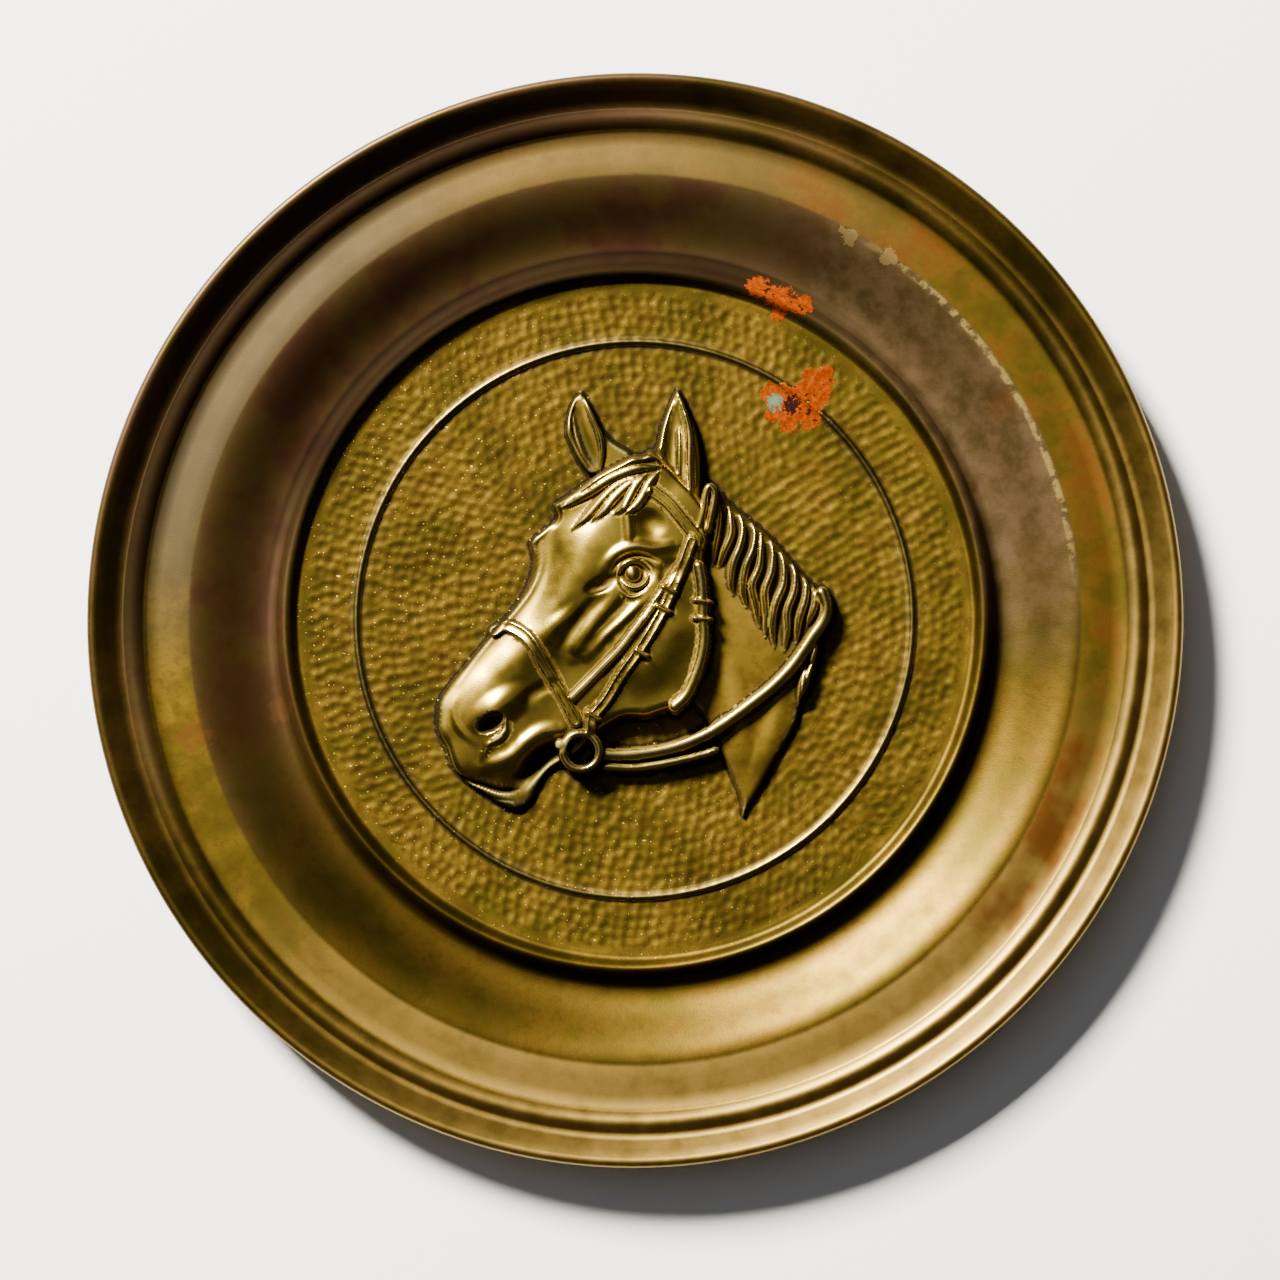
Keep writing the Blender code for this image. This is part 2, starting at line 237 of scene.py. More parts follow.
@dataclass(frozen=True)
class Mound:
    """A rounded swelling, or a dent where its rise is below zero, in drawing units."""

    centre: Point
    size: Point
    turn: float
    rise: float

    def height(self, places: np.ndarray) -> np.ndarray:
        """Height of the mound at each place."""
        gap = np.clip(oval_gap(places, self.centre, self.size, self.turn), 0, 1)
        return self.rise * (1 - gap ** 2) ** 2


@dataclass
class HorseHead:
    """The embossed head, drawn from the well's centre, x to the right and y up.

    The head's height takes `drawn_height` units. Heights are shares of `depth`.
    """

    height: float = 118.8 * MM
    depth: float = 9.0 * MM
    drawn_height: float = 430.0
    landmark_reach: float = 15.0
    eye: Point = (1, 43)
    eye_radius: float = 8.5
    nostril: Point = (-142, -105)
    nostril_size: Point = (15.0, 9.0)
    nostril_turn: float = 33.0
    nostril_depth: float = 0.42
    bit: Point = (-51, -134)
    bit_radius: float = 18.0
    bit_width: float = 9.0
    knob: Point = (-72, -127)
    knob_radius: float = 5.5
    cord_depth: float = 0.20
    eye_rise: float = 0.24
    iris_depth: float = 0.03
    bit_top: float = 0.80
    knob_base: float = 0.66
    knob_rise: float = 0.18
    back_inset: float = 12.0
    back_edge: float = 18.0
    back_share: float = 0.45
    back_neck: float = 0.20

    head: Mass = field(default_factory=lambda: Mass((
        (-39, 143), (-58, 129), (-73, 119), (-81, 113), (-77, 101), (-85, 94), (-93, 87), (-101, 81),
        (-104, 74), (-101, 62), (-102, 50), (-106, 35), (-116, 18), (-131, -1), (-148, -21), (-164, -41),
        (-183, -64), (-195, -82), (-197, -98), (-196, -114), (-187, -132), (-181, -150), (-170, -163),
        (-150, -176), (-130, -189), (-116, -193), (-102, -184), (-95, -169), (-83, -152), (-60, -140),
        (-36, -118), (-11, -102), (13, -101), (30, -96), (47, -90), (60, -76), (69, -55), (73, -30),
        (74, 0), (73, 30), (73, 60), (78, 85), (74, 112),
        (50, 140), (21, 168), (9, 164), (-1, 164), (-13, 157), (-28, 149)), 8.0))
    neck: Mass = field(default_factory=lambda: Mass((
        (66, 128), (85, 129), (98, 115), (124, 94), (146, 73), (169, 45), (194, 20), (200, 12), (197, 0),
        (189, -19), (186, -37), (180, -59), (175, -76), (168, -85), (163, -106), (150, -130), (130, -166),
        (113, -193), (109, -200), (106, -180), (98, -160), (89, -139), (80, -118), (70, -98), (59, -83),
        (40, -40), (40, 60)), 7.0))
    far_ear: Mass = field(default_factory=lambda: Mass((
        (-54, 227), (-63, 216), (-68, 190), (-63, 174), (-51, 151), (-39, 143), (-10, 150), (-1, 164),
        (-13, 173), (-23, 180), (-31, 190), (-37, 203), (-43, 215), (-51, 226)), 5.0))
    near_ear: Mass = field(default_factory=lambda: Mass((
        (43, 229), (38, 219), (29, 195), (24, 175), (22, 166), (27, 153), (35, 138), (47, 117), (64, 97),
        (68, 117), (70, 137), (69, 162), (65, 187), (57, 207), (48, 226)), 7.0))

    # Heights of the face at its landmarks: x, y, share of the depth
    landmarks: Sequence[tuple[float, float, float]] = (
        # The far side of the nose, a low strip along the profile
        (-88, 92, 0.34), (-99, 66, 0.22), (-104, 44, 0.16), (-114, 22, 0.13), (-131, 2, 0.12),
        (-150, -21, 0.12), (-167, -41, 0.14), (-187, -66, 0.18), (-195, -90, 0.28), (-193, -115, 0.40),
        # The front plane of the face, which rises away from the light
        (-66, 84, 0.58), (-78, 60, 0.52), (-88, 34, 0.46), (-104, 9, 0.41), (-124, -14, 0.38),
        (-146, -37, 0.37), (-166, -60, 0.37), (-182, -86, 0.43),
        # The crest between the front and the side of the face
        (-38, 76, 0.90), (-48, 52, 0.90), (-62, 27, 0.87), (-80, 2, 0.83), (-102, -22, 0.78),
        (-126, -46, 0.73), (-150, -70, 0.67), (-166, -94, 0.61),
        # The side of the face, down to the mouth
        (-22, 74, 0.88), (-30, 36, 0.81), (-50, 4, 0.77), (-70, -22, 0.71), (-94, -50, 0.63),
        (-120, -70, 0.60), (-58, -60, 0.66), (-84, -82, 0.60), (-108, -100, 0.58), (-15, 12, 0.80),
        (-34, -26, 0.76),
        # The cheek and the jaw
        (32, -22, 0.92), (5, -45, 0.88), (-28, -74, 0.76), (60, -40, 0.84), (20, -82, 0.78), (64, 10, 0.86),
        (48, 30, 0.86), (-50, -96, 0.64),
        # The brow, the temple and the forehead
        (0, 66, 0.92), (17, 92, 0.80), (-12, 96, 0.88), (45, 95, 0.82), (34, 66, 0.86), (1, 43, 0.82),
        (38, 50, 0.80), (-48, 104, 0.56), (-26, 128, 0.66), (20, 140, 0.76), (-60, 116, 0.46),
        (-22, 88, 0.90),
        # The lips and the chin
        (-143, -106, 0.62), (-174, -128, 0.52), (-150, -140, 0.58), (-125, -128, 0.62), (-160, -154, 0.50),
        (-130, -158, 0.50), (-118, -184, 0.22), (-150, -172, 0.30), (-100, -164, 0.24))

    def folds(self) -> list[Stroke]:
        """Ridges of bone and flesh on the face.

        Returns:
            The strokes, in drawing units.
        """
        thin = Section.ROUND
        return [
            # The far edge of the nose, and the far brow
            Stroke([(-92, 76), (-92, 52), (-102, 28), (-122, 3), (-142, -20), (-160, -42), (-177, -66)],
                   8, 0.07),
            Stroke([(-80, 98), (-94, 84), (-102, 74), (-102, 64)], 12, 0.14),
            # Bone and muscle below the eye
            Stroke([(-12, 26), (-24, 10), (-38, -7), (-50, -24), (-60, -40)], 22, 0.09),
            Stroke([(26, 28), (12, 16), (-4, 3), (-20, -11), (-34, -24), (-48, -38)], 20, 0.12),
            Stroke([(-50, 12), (-64, 0), (-78, -10), (-92, -24)], 24, 0.07),
            # The forehead's ridge beside the temple, and the brow
            Stroke([(-6, 112), (-4, 96), (-3, 80), (-4, 66)], 15, 0.09),
            Stroke([(-28, 50), (-14, 64), (4, 70), (22, 68), (44, 72)], 16, 0.12),
            # The lids, and the fold below the eye
            Stroke([(-15, 41), (-9, 51), (1, 55), (10, 52.5), (18, 46)], 6, 0.14, thin),
            Stroke([(-12, 39), (-6, 32), (3, 29), (12, 33), (17, 42)], 6, 0.14, thin),
            Stroke([(-15, 32), (-10, 24), (-1, 19), (10, 22), (20, 31)], 8, 0.09),
            # The rim of the nostril, and the fold from it to the lip
            Stroke([(-126, -101), (-127, -113), (-134, -122), (-145, -128)], 8, 0.11, thin),
            Stroke([(-144, -124), (-147, -134), (-150, -146)], 8, 0.06),
            # The front of the muzzle
            Stroke([(-176, -76), (-180, -92), (-174, -110), (-158, -126)], 9, 0.04),
            # The rear lobe of the lip
            Stroke([(-150, -150), (-136, -146), (-118, -138), (-104, -124), (-90, -115), (-72, -112)],
                   22, 0.13),
            Stroke([(-120, -133), (-106, -119), (-94, -112), (-78, -109)], 7, 0.05, thin),
        ]

    def mounds(self) -> list[Mound]:
        """Rounded swellings and dents of the face.

        Returns:
            The mounds, in drawing units.
        """
        nostril = Mound((-132, -90), (40, 21), 35, 0.17)
        cheek = Mound((26, -30), (46, 60), -30, 0.05)
        chin = Mound((-125, -182), (24, 9), -14, 0.05)
        temple = Mound((18, 92), (20, 19), 0, -0.11)
        behind_eye = Mound((36, 46), (17, 15), 0, -0.11)
        eye_socket = Mound((3, 45), (27, 19), 12, -0.22)
        tear_duct = Mound((-31, 32), (20, 9), 28, -0.20)
        return [nostril, cheek, chin, temple, behind_eye, eye_socket, tear_duct]

    def hollows(self) -> list[Stroke]:
        """Hollows and creases of the face.

        Returns:
            The strokes, in drawing units.
        """
        return [
            # Under the brow, and the furrows between the bones below the eye
            Stroke([(-22, 43), (-14, 55), (0, 61.5), (14, 60), (30, 53)], 7, 0.12),
            Stroke([(-36, 20), (-48, 4), (-58, -12), (-72, -32)], 14, 0.05),
            Stroke([(2, 14), (-12, 0), (-28, -15), (-44, -34)], 9, 0.06),
            # The mouth and its corner
            Stroke([(-182, -152), (-170, -160), (-150, -167), (-132, -172), (-116, -171), (-106, -164)],
                   6, 0.16, Section.ROUND),
            Stroke([(-116, -166), (-102, -150), (-86, -135), (-68, -127), (-56, -124)], 26, 0.42),
            # The groove of the chin, and the hollow of the cheek
            Stroke([(-158, -174), (-140, -180), (-118, -183)], 4, 0.05),
            Stroke([(-74, -66), (-92, -72), (-108, -84)], 18, 0.05),
        ]

    def forelock(self) -> list[Stroke]:
        """Locks of the forelock, each from its root to its tip.

        Returns:
            The strokes, in drawing units.
        """
        locks = [
            [(32, 158), (18, 159), (4, 157), (-22, 148), (-49, 130), (-66, 118), (-80, 112)],
            [(30, 150), (4, 148), (-20, 139), (-43, 125), (-60, 116), (-76, 108)],
            [(6, 141), (-8, 135), (-19, 128), (-34, 114), (-46, 101), (-60, 88)],
            [(8, 139), (-2, 133), (-12, 125), (-20, 117), (-28, 107), (-40, 96)],
            [(14, 142), (4, 131), (-3, 119), (-8, 110), (-18, 102)],
            [(26, 144), (17, 133), (11, 121), (4, 111), (-6, 103)],
        ]
        return [Stroke(lock, 10.5, 0.17, Section.ROUND) for lock in locks]

    def mane(self) -> list[Stroke]:
        """Locks of the mane, each from the crest down.

        Returns:
            The strokes, in drawing units.
        """
        locks = [
            [(86, 116), (86, 104), (84, 88), (81, 70), (79, 52)],
            [(96, 110), (98, 96), (98, 82), (91, 65), (86, 50)],
            [(107, 102), (110, 88), (107, 71), (100, 53), (98, 36), (100, 22)],
            [(119, 94), (122, 84), (120, 68), (113, 50), (110, 30), (113, 10)],
            [(128, 84), (128, 70), (126, 50), (119, 32), (122, 14), (126, -10)],
            [(138, 76), (140, 62), (138, 44), (132, 26), (133, 4), (132, -20)],
            [(148, 64), (151, 50), (150, 32), (142, 12), (139, -8), (141, -30)],
            [(159, 56), (162, 44), (161, 26), (154, 6), (154, -14), (151, -34)],
            [(170, 44), (173, 34), (172, 18), (166, -2), (163, -26)],
            [(180, 32), (182, 22), (181, 10), (174, -8)],
            [(184, -20), (182, -36), (179, -54)],
            [(172, -50), (169, -70), (167, -92)],
            [(180, -44), (176, -60), (174, -78)],
        ]
        return [Stroke(lock, 9.5, 0.24, Section.ROUND) for lock in locks]

    def straps(self) -> list[Stroke]:
        """Flat straps of the bridle, which lie on the face, with their buckles and keepers.

        Returns:
            The strokes, in drawing units.
        """
        sewn = Section.SEWN
        cheek = [(59, 75), (50, 50), (40, 26), (27, -1), (9, -31), (-11, -59), (-25, -82), (-39, -100),
                 (-41, -113)]
        fittings = [([(31, 29), (43, 23)], 6), ([(25, 10), (37, 4)], 6), ([(4, -34), (15, -40)], 6),
                    ([(-44, -96), (-33, -103)], 7)]
        return [
            Stroke([(22, 124), (35, 114), (47, 100), (59, 85), (71, 72)], 13, 0.10, sewn, False),
            Stroke([(59, 75), (54, 60), (47, 49), (39, 37), (30, 24), (19, 8), (8, -6), (-13, -33),
                    (-25, -46), (-52, -73), (-60, -81)], 8, 0.17, Section.FLAT, False),
            Stroke(cheek, 11, 0.22, sewn, False),
            Stroke([(-139, -13), (-128, -8), (-113, -14), (-102, -24), (-92, -40), (-73, -73), (-57, -104)],
                   13, 0.14, sewn, False),
        ] + [Stroke(points, width, 0.28, Section.ROUND, False) for points, width in fittings]

    def cords(self) -> list[tuple[Stroke, float]]:
        """Round straps with the height of their tops: throat-latch, crown loop and reins.

        Returns:
            Each strap with the height of its top.
        """
        rein = [(-29, -137), (-2, -137), (27, -133), (53, -126), (77, -115), (100, -100), (120, -85),
                (140, -69), (160, -48), (178, -22), (190, -4), (193, 10), (189, 24)]
        latch = [(66, 50), (69, 30), (70, 0), (71, -20), (69, -38), (63, -58), (54, -78), (42, -90)]
        crown = [(65, 86), (71, 105), (73, 122), (77, 130), (82, 123), (79, 104), (75, 86)]
        far_rein = [(-27, -149), (0, -150), (25, -147), (50, -142), (70, -137), (82, -133)]
        cords = [(latch, 12, 0.98), ([(63, 16), (77, 14)], 6, 1.02), ([(62, -2), (77, -3)], 6, 1.02),
                 (crown, 8, 0.86), (rein, 13, 0.64), (far_rein, 9, 0.52)]
        return [(Stroke(points, width, 1.0, Section.ROUND, False), top) for points, width, top in cords]

    def landmark_height(self, places: np.ndarray) -> np.ndarray:
        """Broad height of the face, blended from its landmarks.

        Args:
            places: Places in drawing units, one a row.

        Returns:
            The height at each place.
        """
        total = np.zeros(len(places))
        weights = np.zeros(len(places))
        for x, y, height in self.landmarks:
            gap = (places[:, 0] - x) ** 2 + (places[:, 1] - y) ** 2
            weight = np.exp(-gap / (2 * self.landmark_reach ** 2)) + 1e-9
            total += weight * height
            weights += weight
        return total / weights

    def face(self, places: np.ndarray) -> np.ndarray:
        """The head without its ears, from the poll to the chin.

        Args:
            places: Places in drawing units, one a row.

        Returns:
            The height at each place.
        """
        height = self.landmark_height(places)
        height += highest(places, self.folds()) - highest(places, self.hollows())
        for mound in self.mounds():
            height += mound.height(places)
        gap = np.linalg.norm(places - self.eye, axis=1) / self.eye_radius
        height += self.eye_rise * np.sqrt(1 - np.clip(gap, 0, 1) ** 2)
        height -= self.iris_depth * np.clip(1 - np.abs(gap - 0.52) / 0.2, 0, 1)
        opening = np.clip(oval_gap(places, self.nostril, self.nostril_size, self.nostril_turn), 0, 1)
        height -= self.nostril_depth * np.sqrt(1 - opening ** 2)
        return (height + highest(places, self.forelock())) * self.head.fill(places)

    def low_neck(self, places: np.ndarray) -> np.ndarray:
        """The low neck, rising from its front tip to the crest, with the mane.

        Args:
            places: Places in drawing units, one a row.

        Returns:
            The height at each place.
        """
        rise = 0.22 + 0.12 * np.clip((places[:, 1] + 200) / 260, 0, 1)
        muscles = highest(places, [
            Stroke([(90, -40), (104, -90), (108, -150)], 34, 0.05),
            Stroke([(150, -60), (140, -110), (120, -160)], 28, 0.05)])
        return (rise + muscles + highest(places, self.mane())) * self.neck.fill(places)

    def ears(self, places: np.ndarray) -> np.ndarray:
        """Both ears, each a leaf with a hollow cup and a raised rim.

        Args:
            places: Places in drawing units, one a row.

        Returns:
            The height at each place.
        """
        thin = Section.ROUND
        far = 0.34 + highest(places, [
            Stroke([(-61, 208), (-57, 185), (-50, 165), (-40, 150)], 4, 0.05, thin),
            Stroke([(-50, 224), (-41, 203), (-34, 187), (-31, 168), (-33, 146)], 7, 0.16, thin),
            Stroke([(-57, 222), (-65, 204), (-65, 188), (-59, 170), (-44, 148)], 7, 0.12, thin)])
        far -= Stroke([(-57, 214), (-55, 192), (-47, 170), (-37, 150)], 20, 0.12).height(places)
        near = 0.50 + 0.20 * np.clip((190 - places[:, 1]) / 90, 0, 1) + highest(places, [
            Stroke([(45, 226), (53, 203), (57, 181), (57, 148), (59, 117), (65, 97)], 8, 0.16, thin),
            Stroke([(46, 192), (46, 165), (46, 139), (49, 120)], 6, 0.09, thin),
            Stroke([(42, 224), (33, 200), (28, 178), (29, 158), (37, 140), (50, 120)], 8, 0.13, thin)])
        near -= Stroke([(43, 215), (41, 190), (39, 161), (44, 130), (54, 108)], 24, 0.14).height(places)
        return np.maximum(far * self.far_ear.fill(places), near * self.near_ear.fill(places))

    def bridle(self, places: np.ndarray, bare: np.ndarray) -> np.ndarray:
        """Lay the bridle, reins and bit over the bare head.

        Args:
            places: Places in drawing units, one a row.
            bare: Height of the bare head there.

        Returns:
            The height with the bridle on.
        """
        height = bare + highest(places, self.straps())
        for stroke, top in self.cords():
            cord = stroke.height(places)
            height = np.where(cord > 0, np.maximum(height, top - self.cord_depth * (1 - cord)), height)
        across = np.abs(np.linalg.norm(places - self.bit, axis=1) - self.bit_radius) / (0.5 * self.bit_width)
        ring = np.sqrt(1 - np.clip(across, 0, 1) ** 2)
        ring_top = self.bit_top - self.cord_depth * (1 - ring)
        height = np.where(ring > 0, np.maximum(height, ring_top), height)
        knob = np.sqrt(1 - np.clip(np.linalg.norm(places - self.knob, axis=1) / self.knob_radius, 0, 1) ** 2)
        return np.where(knob > 0, np.maximum(height, self.knob_base + self.knob_rise * knob), height)

    def front(self, places: np.ndarray) -> np.ndarray:
        """Height of the head over the well, in metres, at places in metres.

        Args:
            places: Places in metres from the well's centre, one a row.

        Returns:
            The height at each place, in metres.
        """
        drawn = places * self.drawn_height / self.height
        height = np.zeros(len(places))
        near = np.all(np.abs(drawn) < 1.15 * self.drawn_height / 2, axis=1)
        drawn = drawn[near]
        bare = np.maximum.reduce([self.face(drawn), self.low_neck(drawn), self.ears(drawn)])
        height[near] = self.depth * np.maximum(self.bridle(drawn, bare), 0)
        return height

    def recess_shade(self, places: np.ndarray) -> np.ndarray:
        """How far the places, in metres, lie in a recess that is darkened with painted shade, 0 to 1.

        Args:
            places: Places in metres from the well's centre, one a row.

        Returns:
            How deep in painted shade each place is.
        """
        drawn = places * self.drawn_height / self.height
        opening = np.clip(oval_gap(drawn, self.nostril, self.nostril_size, self.nostril_turn), 0, 1)
        recesses = highest(drawn, [
            # Painted shade in the mouth's corner, below the brow and in the tear duct
            Stroke([(-116, -166), (-102, -150), (-86, -135), (-68, -127), (-56, -124)], 22, 1.0),
            Stroke([(-24, 42), (-15, 55), (0, 61.5), (14, 60), (32, 54)], 8, 0.8),
            Stroke([(-14, 38), (-30, 32), (-44, 24)], 10, 0.8)])
        return np.maximum(1 - opening ** 4, recesses)

    def back(self, places: np.ndarray) -> np.ndarray:
        """Height of the plainer hollow that the press leaves behind the head, in metres.

        Args:
            places: Places in metres from the well's centre, one a row.

        Returns:
            The height at each place, in metres.
        """
        drawn = places * self.drawn_height / self.height
        # Shallower behind the mouth, where the front lies low
        mouth = Stroke([(-128, -170), (-102, -150), (-86, -135), (-62, -124)], 70, 0.6).height(drawn)
        head = rounded_edge(self.head.inside(drawn) - self.back_inset, self.back_edge)
        neck = rounded_edge(self.neck.inside(drawn) - self.back_inset, self.back_edge)
        head *= self.landmark_height(drawn) - mouth
        return self.back_share * self.depth * np.maximum(np.maximum(head, self.back_neck * neck), 0)


@dataclass
class HammerMarks:
    """Round dents struck in staggered rings over the well.

    A dent's bowl reaches `reach` pitches out. Its place and depth stray by shares of the pitch and depth.
    """

    pitch: float = 3.1 * MM
    depth: float = 0.30 * MM
    reach: float = 0.62
    sharpness: float = 1.35
    unevenness: float = 0.23
    depth_spread: float = 0.4
    most_per_ring: int = 256
    seed: int = 11

    def sink(self, places: np.ndarray) -> np.ndarray:
        """Depth of the dents, in metres, at places in metres.

        Args:
            places: Places in metres from the well's centre, one a row.

        Returns:
            The depth at each place, in metres.
        """
        radius = np.hypot(*places.T)
        angle = np.arctan2(places[:, 1], places[:, 0])
        spacing = self.pitch * math.sqrt(0.75)
        rings = int(radius.max() / spacing) + 3
        random = np.random.default_rng(self.seed)
        shifts = random.uniform(-1, 1, (rings + 2, self.most_per_ring, 2)) * self.unevenness * self.pitch
        depths = 1 + random.uniform(-1, 1, (rings + 2, self.most_per_ring)) * self.depth_spread
        sink = np.zeros(len(places))
        for step in (-1, 0, 1):
            ring = np.clip(np.round(radius / spacing).astype(int) + step, 1, rings)
            count = np.maximum(np.round(2 * math.pi * ring * spacing / self.pitch), 1)
            turn = angle / (2 * math.pi) * count - 0.5 * (ring % 2)
            for side in (0, 1):
                mark = np.floor(turn) + side
                centre_angle = (mark + 0.5 * (ring % 2)) * 2 * math.pi / count
                index = np.mod(mark, count).astype(int) % self.most_per_ring
                shift = shifts[ring, index]
                x = ring * spacing * np.cos(centre_angle) + shift[:, 0]
                y = ring * spacing * np.sin(centre_angle) + shift[:, 1]
                gap = np.hypot(places[:, 0] - x, places[:, 1] - y) / (self.reach * self.pitch)
                bowl = (1 - np.minimum(gap, 1) ** 2) ** self.sharpness
                np.maximum(sink, depths[ring, index] * self.depth * bowl, out=sink)
        return sink


@dataclass
class PlateSection:
    """The turned section, from the well outwards."""

    sheet: float = 0.9 * MM
    well_radius: float = 94.0 * MM
    well_height: float = 2.5 * MM
    ring_radius: float = 77.1 * MM
    ring_width: float = 2.2 * MM
    ring_rise: float = 1.0 * MM
    step_width: float = 6.0 * MM
    step_rise: float = 3.8 * MM
    foot_width: float = 2.6 * MM
    cove_width: float = 20.2 * MM
    cove_rise: float = 9.2 * MM
    brim_width: float = 12.0 * MM
    brim_fall: float = 0.5 * MM
    moulding_width: float = 6.5 * MM
    moulding_rise: float = 1.7 * MM
    groove_rise: float = 1.0 * MM
    rim_width: float = 5.8 * MM
    rim_rise: float = 5.7 * MM
    roll_radius: float = 1.64 * MM
    roll_room: float = 1.70 * MM

    @staticmethod
    def bead(start: Point, end: Point, rise: float, steps: int) -> list[Point]:
        """Points of a rounded bead from one foot to the other, without its last foot.

        Args:
            start: The inner foot, as radius and height.
            end: The outer foot.
            rise: How far its top stands over the line between them.
            steps: How many points.

        Returns:
            The points, as radius and height.
        """
        points = []
        for step in range(steps):
            share = step / steps
            height = start[1] + share * (end[1] - start[1]) + rise * math.sin(math.pi * share)
            points.append((start[0] + share * (end[0] - start[0]), height))
        return points

    @staticmethod
    def cove(start: Point, end: Point, steps: int) -> list[Point]:
        """Points of the hollow wall between the foot and the brim, without its last point.

        Args:
            start: The wall's lower end.
            end: Its upper end.
            steps: How many points.

        Returns:
            The points, as radius and height.
        """
        points = []
        for step in range(steps):
            share = step / steps
            eased = 0.25 * share + 0.75 * 0.5 * (1 - math.cos(math.pi * share))
            points.append((start[0] + share * (end[0] - start[0]), start[1] + eased * (end[1] - start[1])))
        return points

    def front(self) -> list[Point]:
        """The sheet's upper side from the well's edge to the top of the rim, as (radius, height).

        Returns:
            The points, as radius and height.
        """
        well_edge = (self.well_radius, self.well_height)
        foot_in = (self.well_radius + self.step_width, self.sheet)
        foot_out = (foot_in[0] + self.foot_width, self.sheet)
        brim_in = (foot_out[0] + self.cove_width, self.sheet + self.cove_rise)
        brim_out = (brim_in[0] + self.brim_width, brim_in[1] - self.brim_fall)
        groove = (brim_out[0] + self.moulding_width, brim_out[1] + self.groove_rise)
        rim = (groove[0] + self.rim_width, groove[1] + self.rim_rise)
        points = self.bead(well_edge, foot_in, self.step_rise, 9) + [foot_in]
        points += self.cove(foot_out, brim_in, 12) + [brim_in]
        points += [self.between(brim_in, brim_out, share) for share in (0.33, 0.66)]
        points += self.bead(brim_out, groove, self.moulding_rise, 8) + [groove]
        points += [self.between(groove, rim, share) for share in (0.3, 0.65)] + [rim]
        return points

    @staticmethod
    def between(start: Point, end: Point, share: float) -> Point:
        """The point at a share of the way from one point to another."""
        return start[0] + share * (end[0] - start[0]), start[1] + share * (end[1] - start[1])

    def below(self, line: Line) -> list[Point]:
        """The line moved down by the sheet's thickness, square to each stretch.

        Args:
            line: The line's points, as radius and height.

        Returns:
            The points, as radius and height.
        """
        points = np.array(line)
        along = np.diff(points, axis=0)
        along /= np.linalg.norm(along, axis=1)[:, None]
        under = np.column_stack([along[:, 1], -along[:, 0]])
        middle = np.vstack([[0.0, -1.0], under]) + np.vstack([under, under[-1:]])
        scale = 2 / np.sum(middle * middle, axis=1)
        return [tuple(point) for point in points + self.sheet * middle * scale[:, None]]

    def roll(self, rim: Point, steps: int) -> list[Point]:
        """The edge rolled under, from the rim's inner shoulder round to its underside.

        Args:
            rim: The top of the rim, as radius and height.
            steps: How many points.

        Returns:
            The points, as radius and height.
        """
        shoulder = math.radians(135)
        sweep = math.radians(300)
        centre_x = rim[0] - self.roll_room * math.cos(shoulder)
        centre_z = rim[1] - self.roll_room * math.sin(shoulder)
        points = []
        for step in range(1, steps + 1):
            angle = shoulder - sweep * step / steps
            x = centre_x + self.roll_radius * math.cos(angle)
            points.append((x, centre_z + self.roll_radius * math.sin(angle)))
        return points

    def outline(self) -> list[Point]:
        """The section from the well's edge over the front, round the edge and back below the ring.

        Returns:
            The points, as radius and height.
        """
        front = self.front()
        half, base = (self.ring_width - self.sheet) / 2, self.well_height - self.sheet
        groove_in, groove_out = (self.ring_radius - half, base), (self.ring_radius + half, base)
        groove = self.bead(groove_in, groove_out, 0.85 * self.ring_rise, 4) + [groove_out]
        back = groove + self.below(front)[:-1]
        return front + self.roll(front[-1], 16) + back[::-1]


def hex_colour(code: str) -> tuple[float, float, float, float]:
    """Linear colour of an sRGB hex code.

    Args:
        code: The code, such as #5A4815.

    Returns:
        Red, green, blue and an alpha of 1.
    """
    values = [int(code[start:start + 2], 16) / 255 for start in (1, 3, 5)]
    linear = [value / 12.92 if value <= 0.04045 else ((value + 0.055) / 1.055) ** 2.4 for value in values]
    return linear[0], linear[1], linear[2], 1.0


def per_metre(size_mm: float) -> float:
    """Scale of a noise whose features measure the given millimetres."""
    return 1.0 / (size_mm * MM)


def add_node(tree: bpy.types.NodeTree, kind: str, values: dict | None = None, links: dict | None = None,
             **settings: object) -> bpy.types.Node:
    """Add a node to a material.

    Args:
        tree: The material's node tree.
        kind: The node's type, without its ShaderNode prefix.
        values: Input values by the input's name or number.
        links: Sockets that feed inputs, by the input's name or number.
        **settings: The node's own settings.

    Returns:
        The new node.
    """
    node = tree.nodes.new("ShaderNode" + kind)
    for name, setting in settings.items():
        setattr(node, name, setting)
    for name, value in (values or {}).items():
        node.inputs[name].default_value = value
    for name, socket in (links or {}).items():
        tree.links.new(socket, node.inputs[name])
    return node


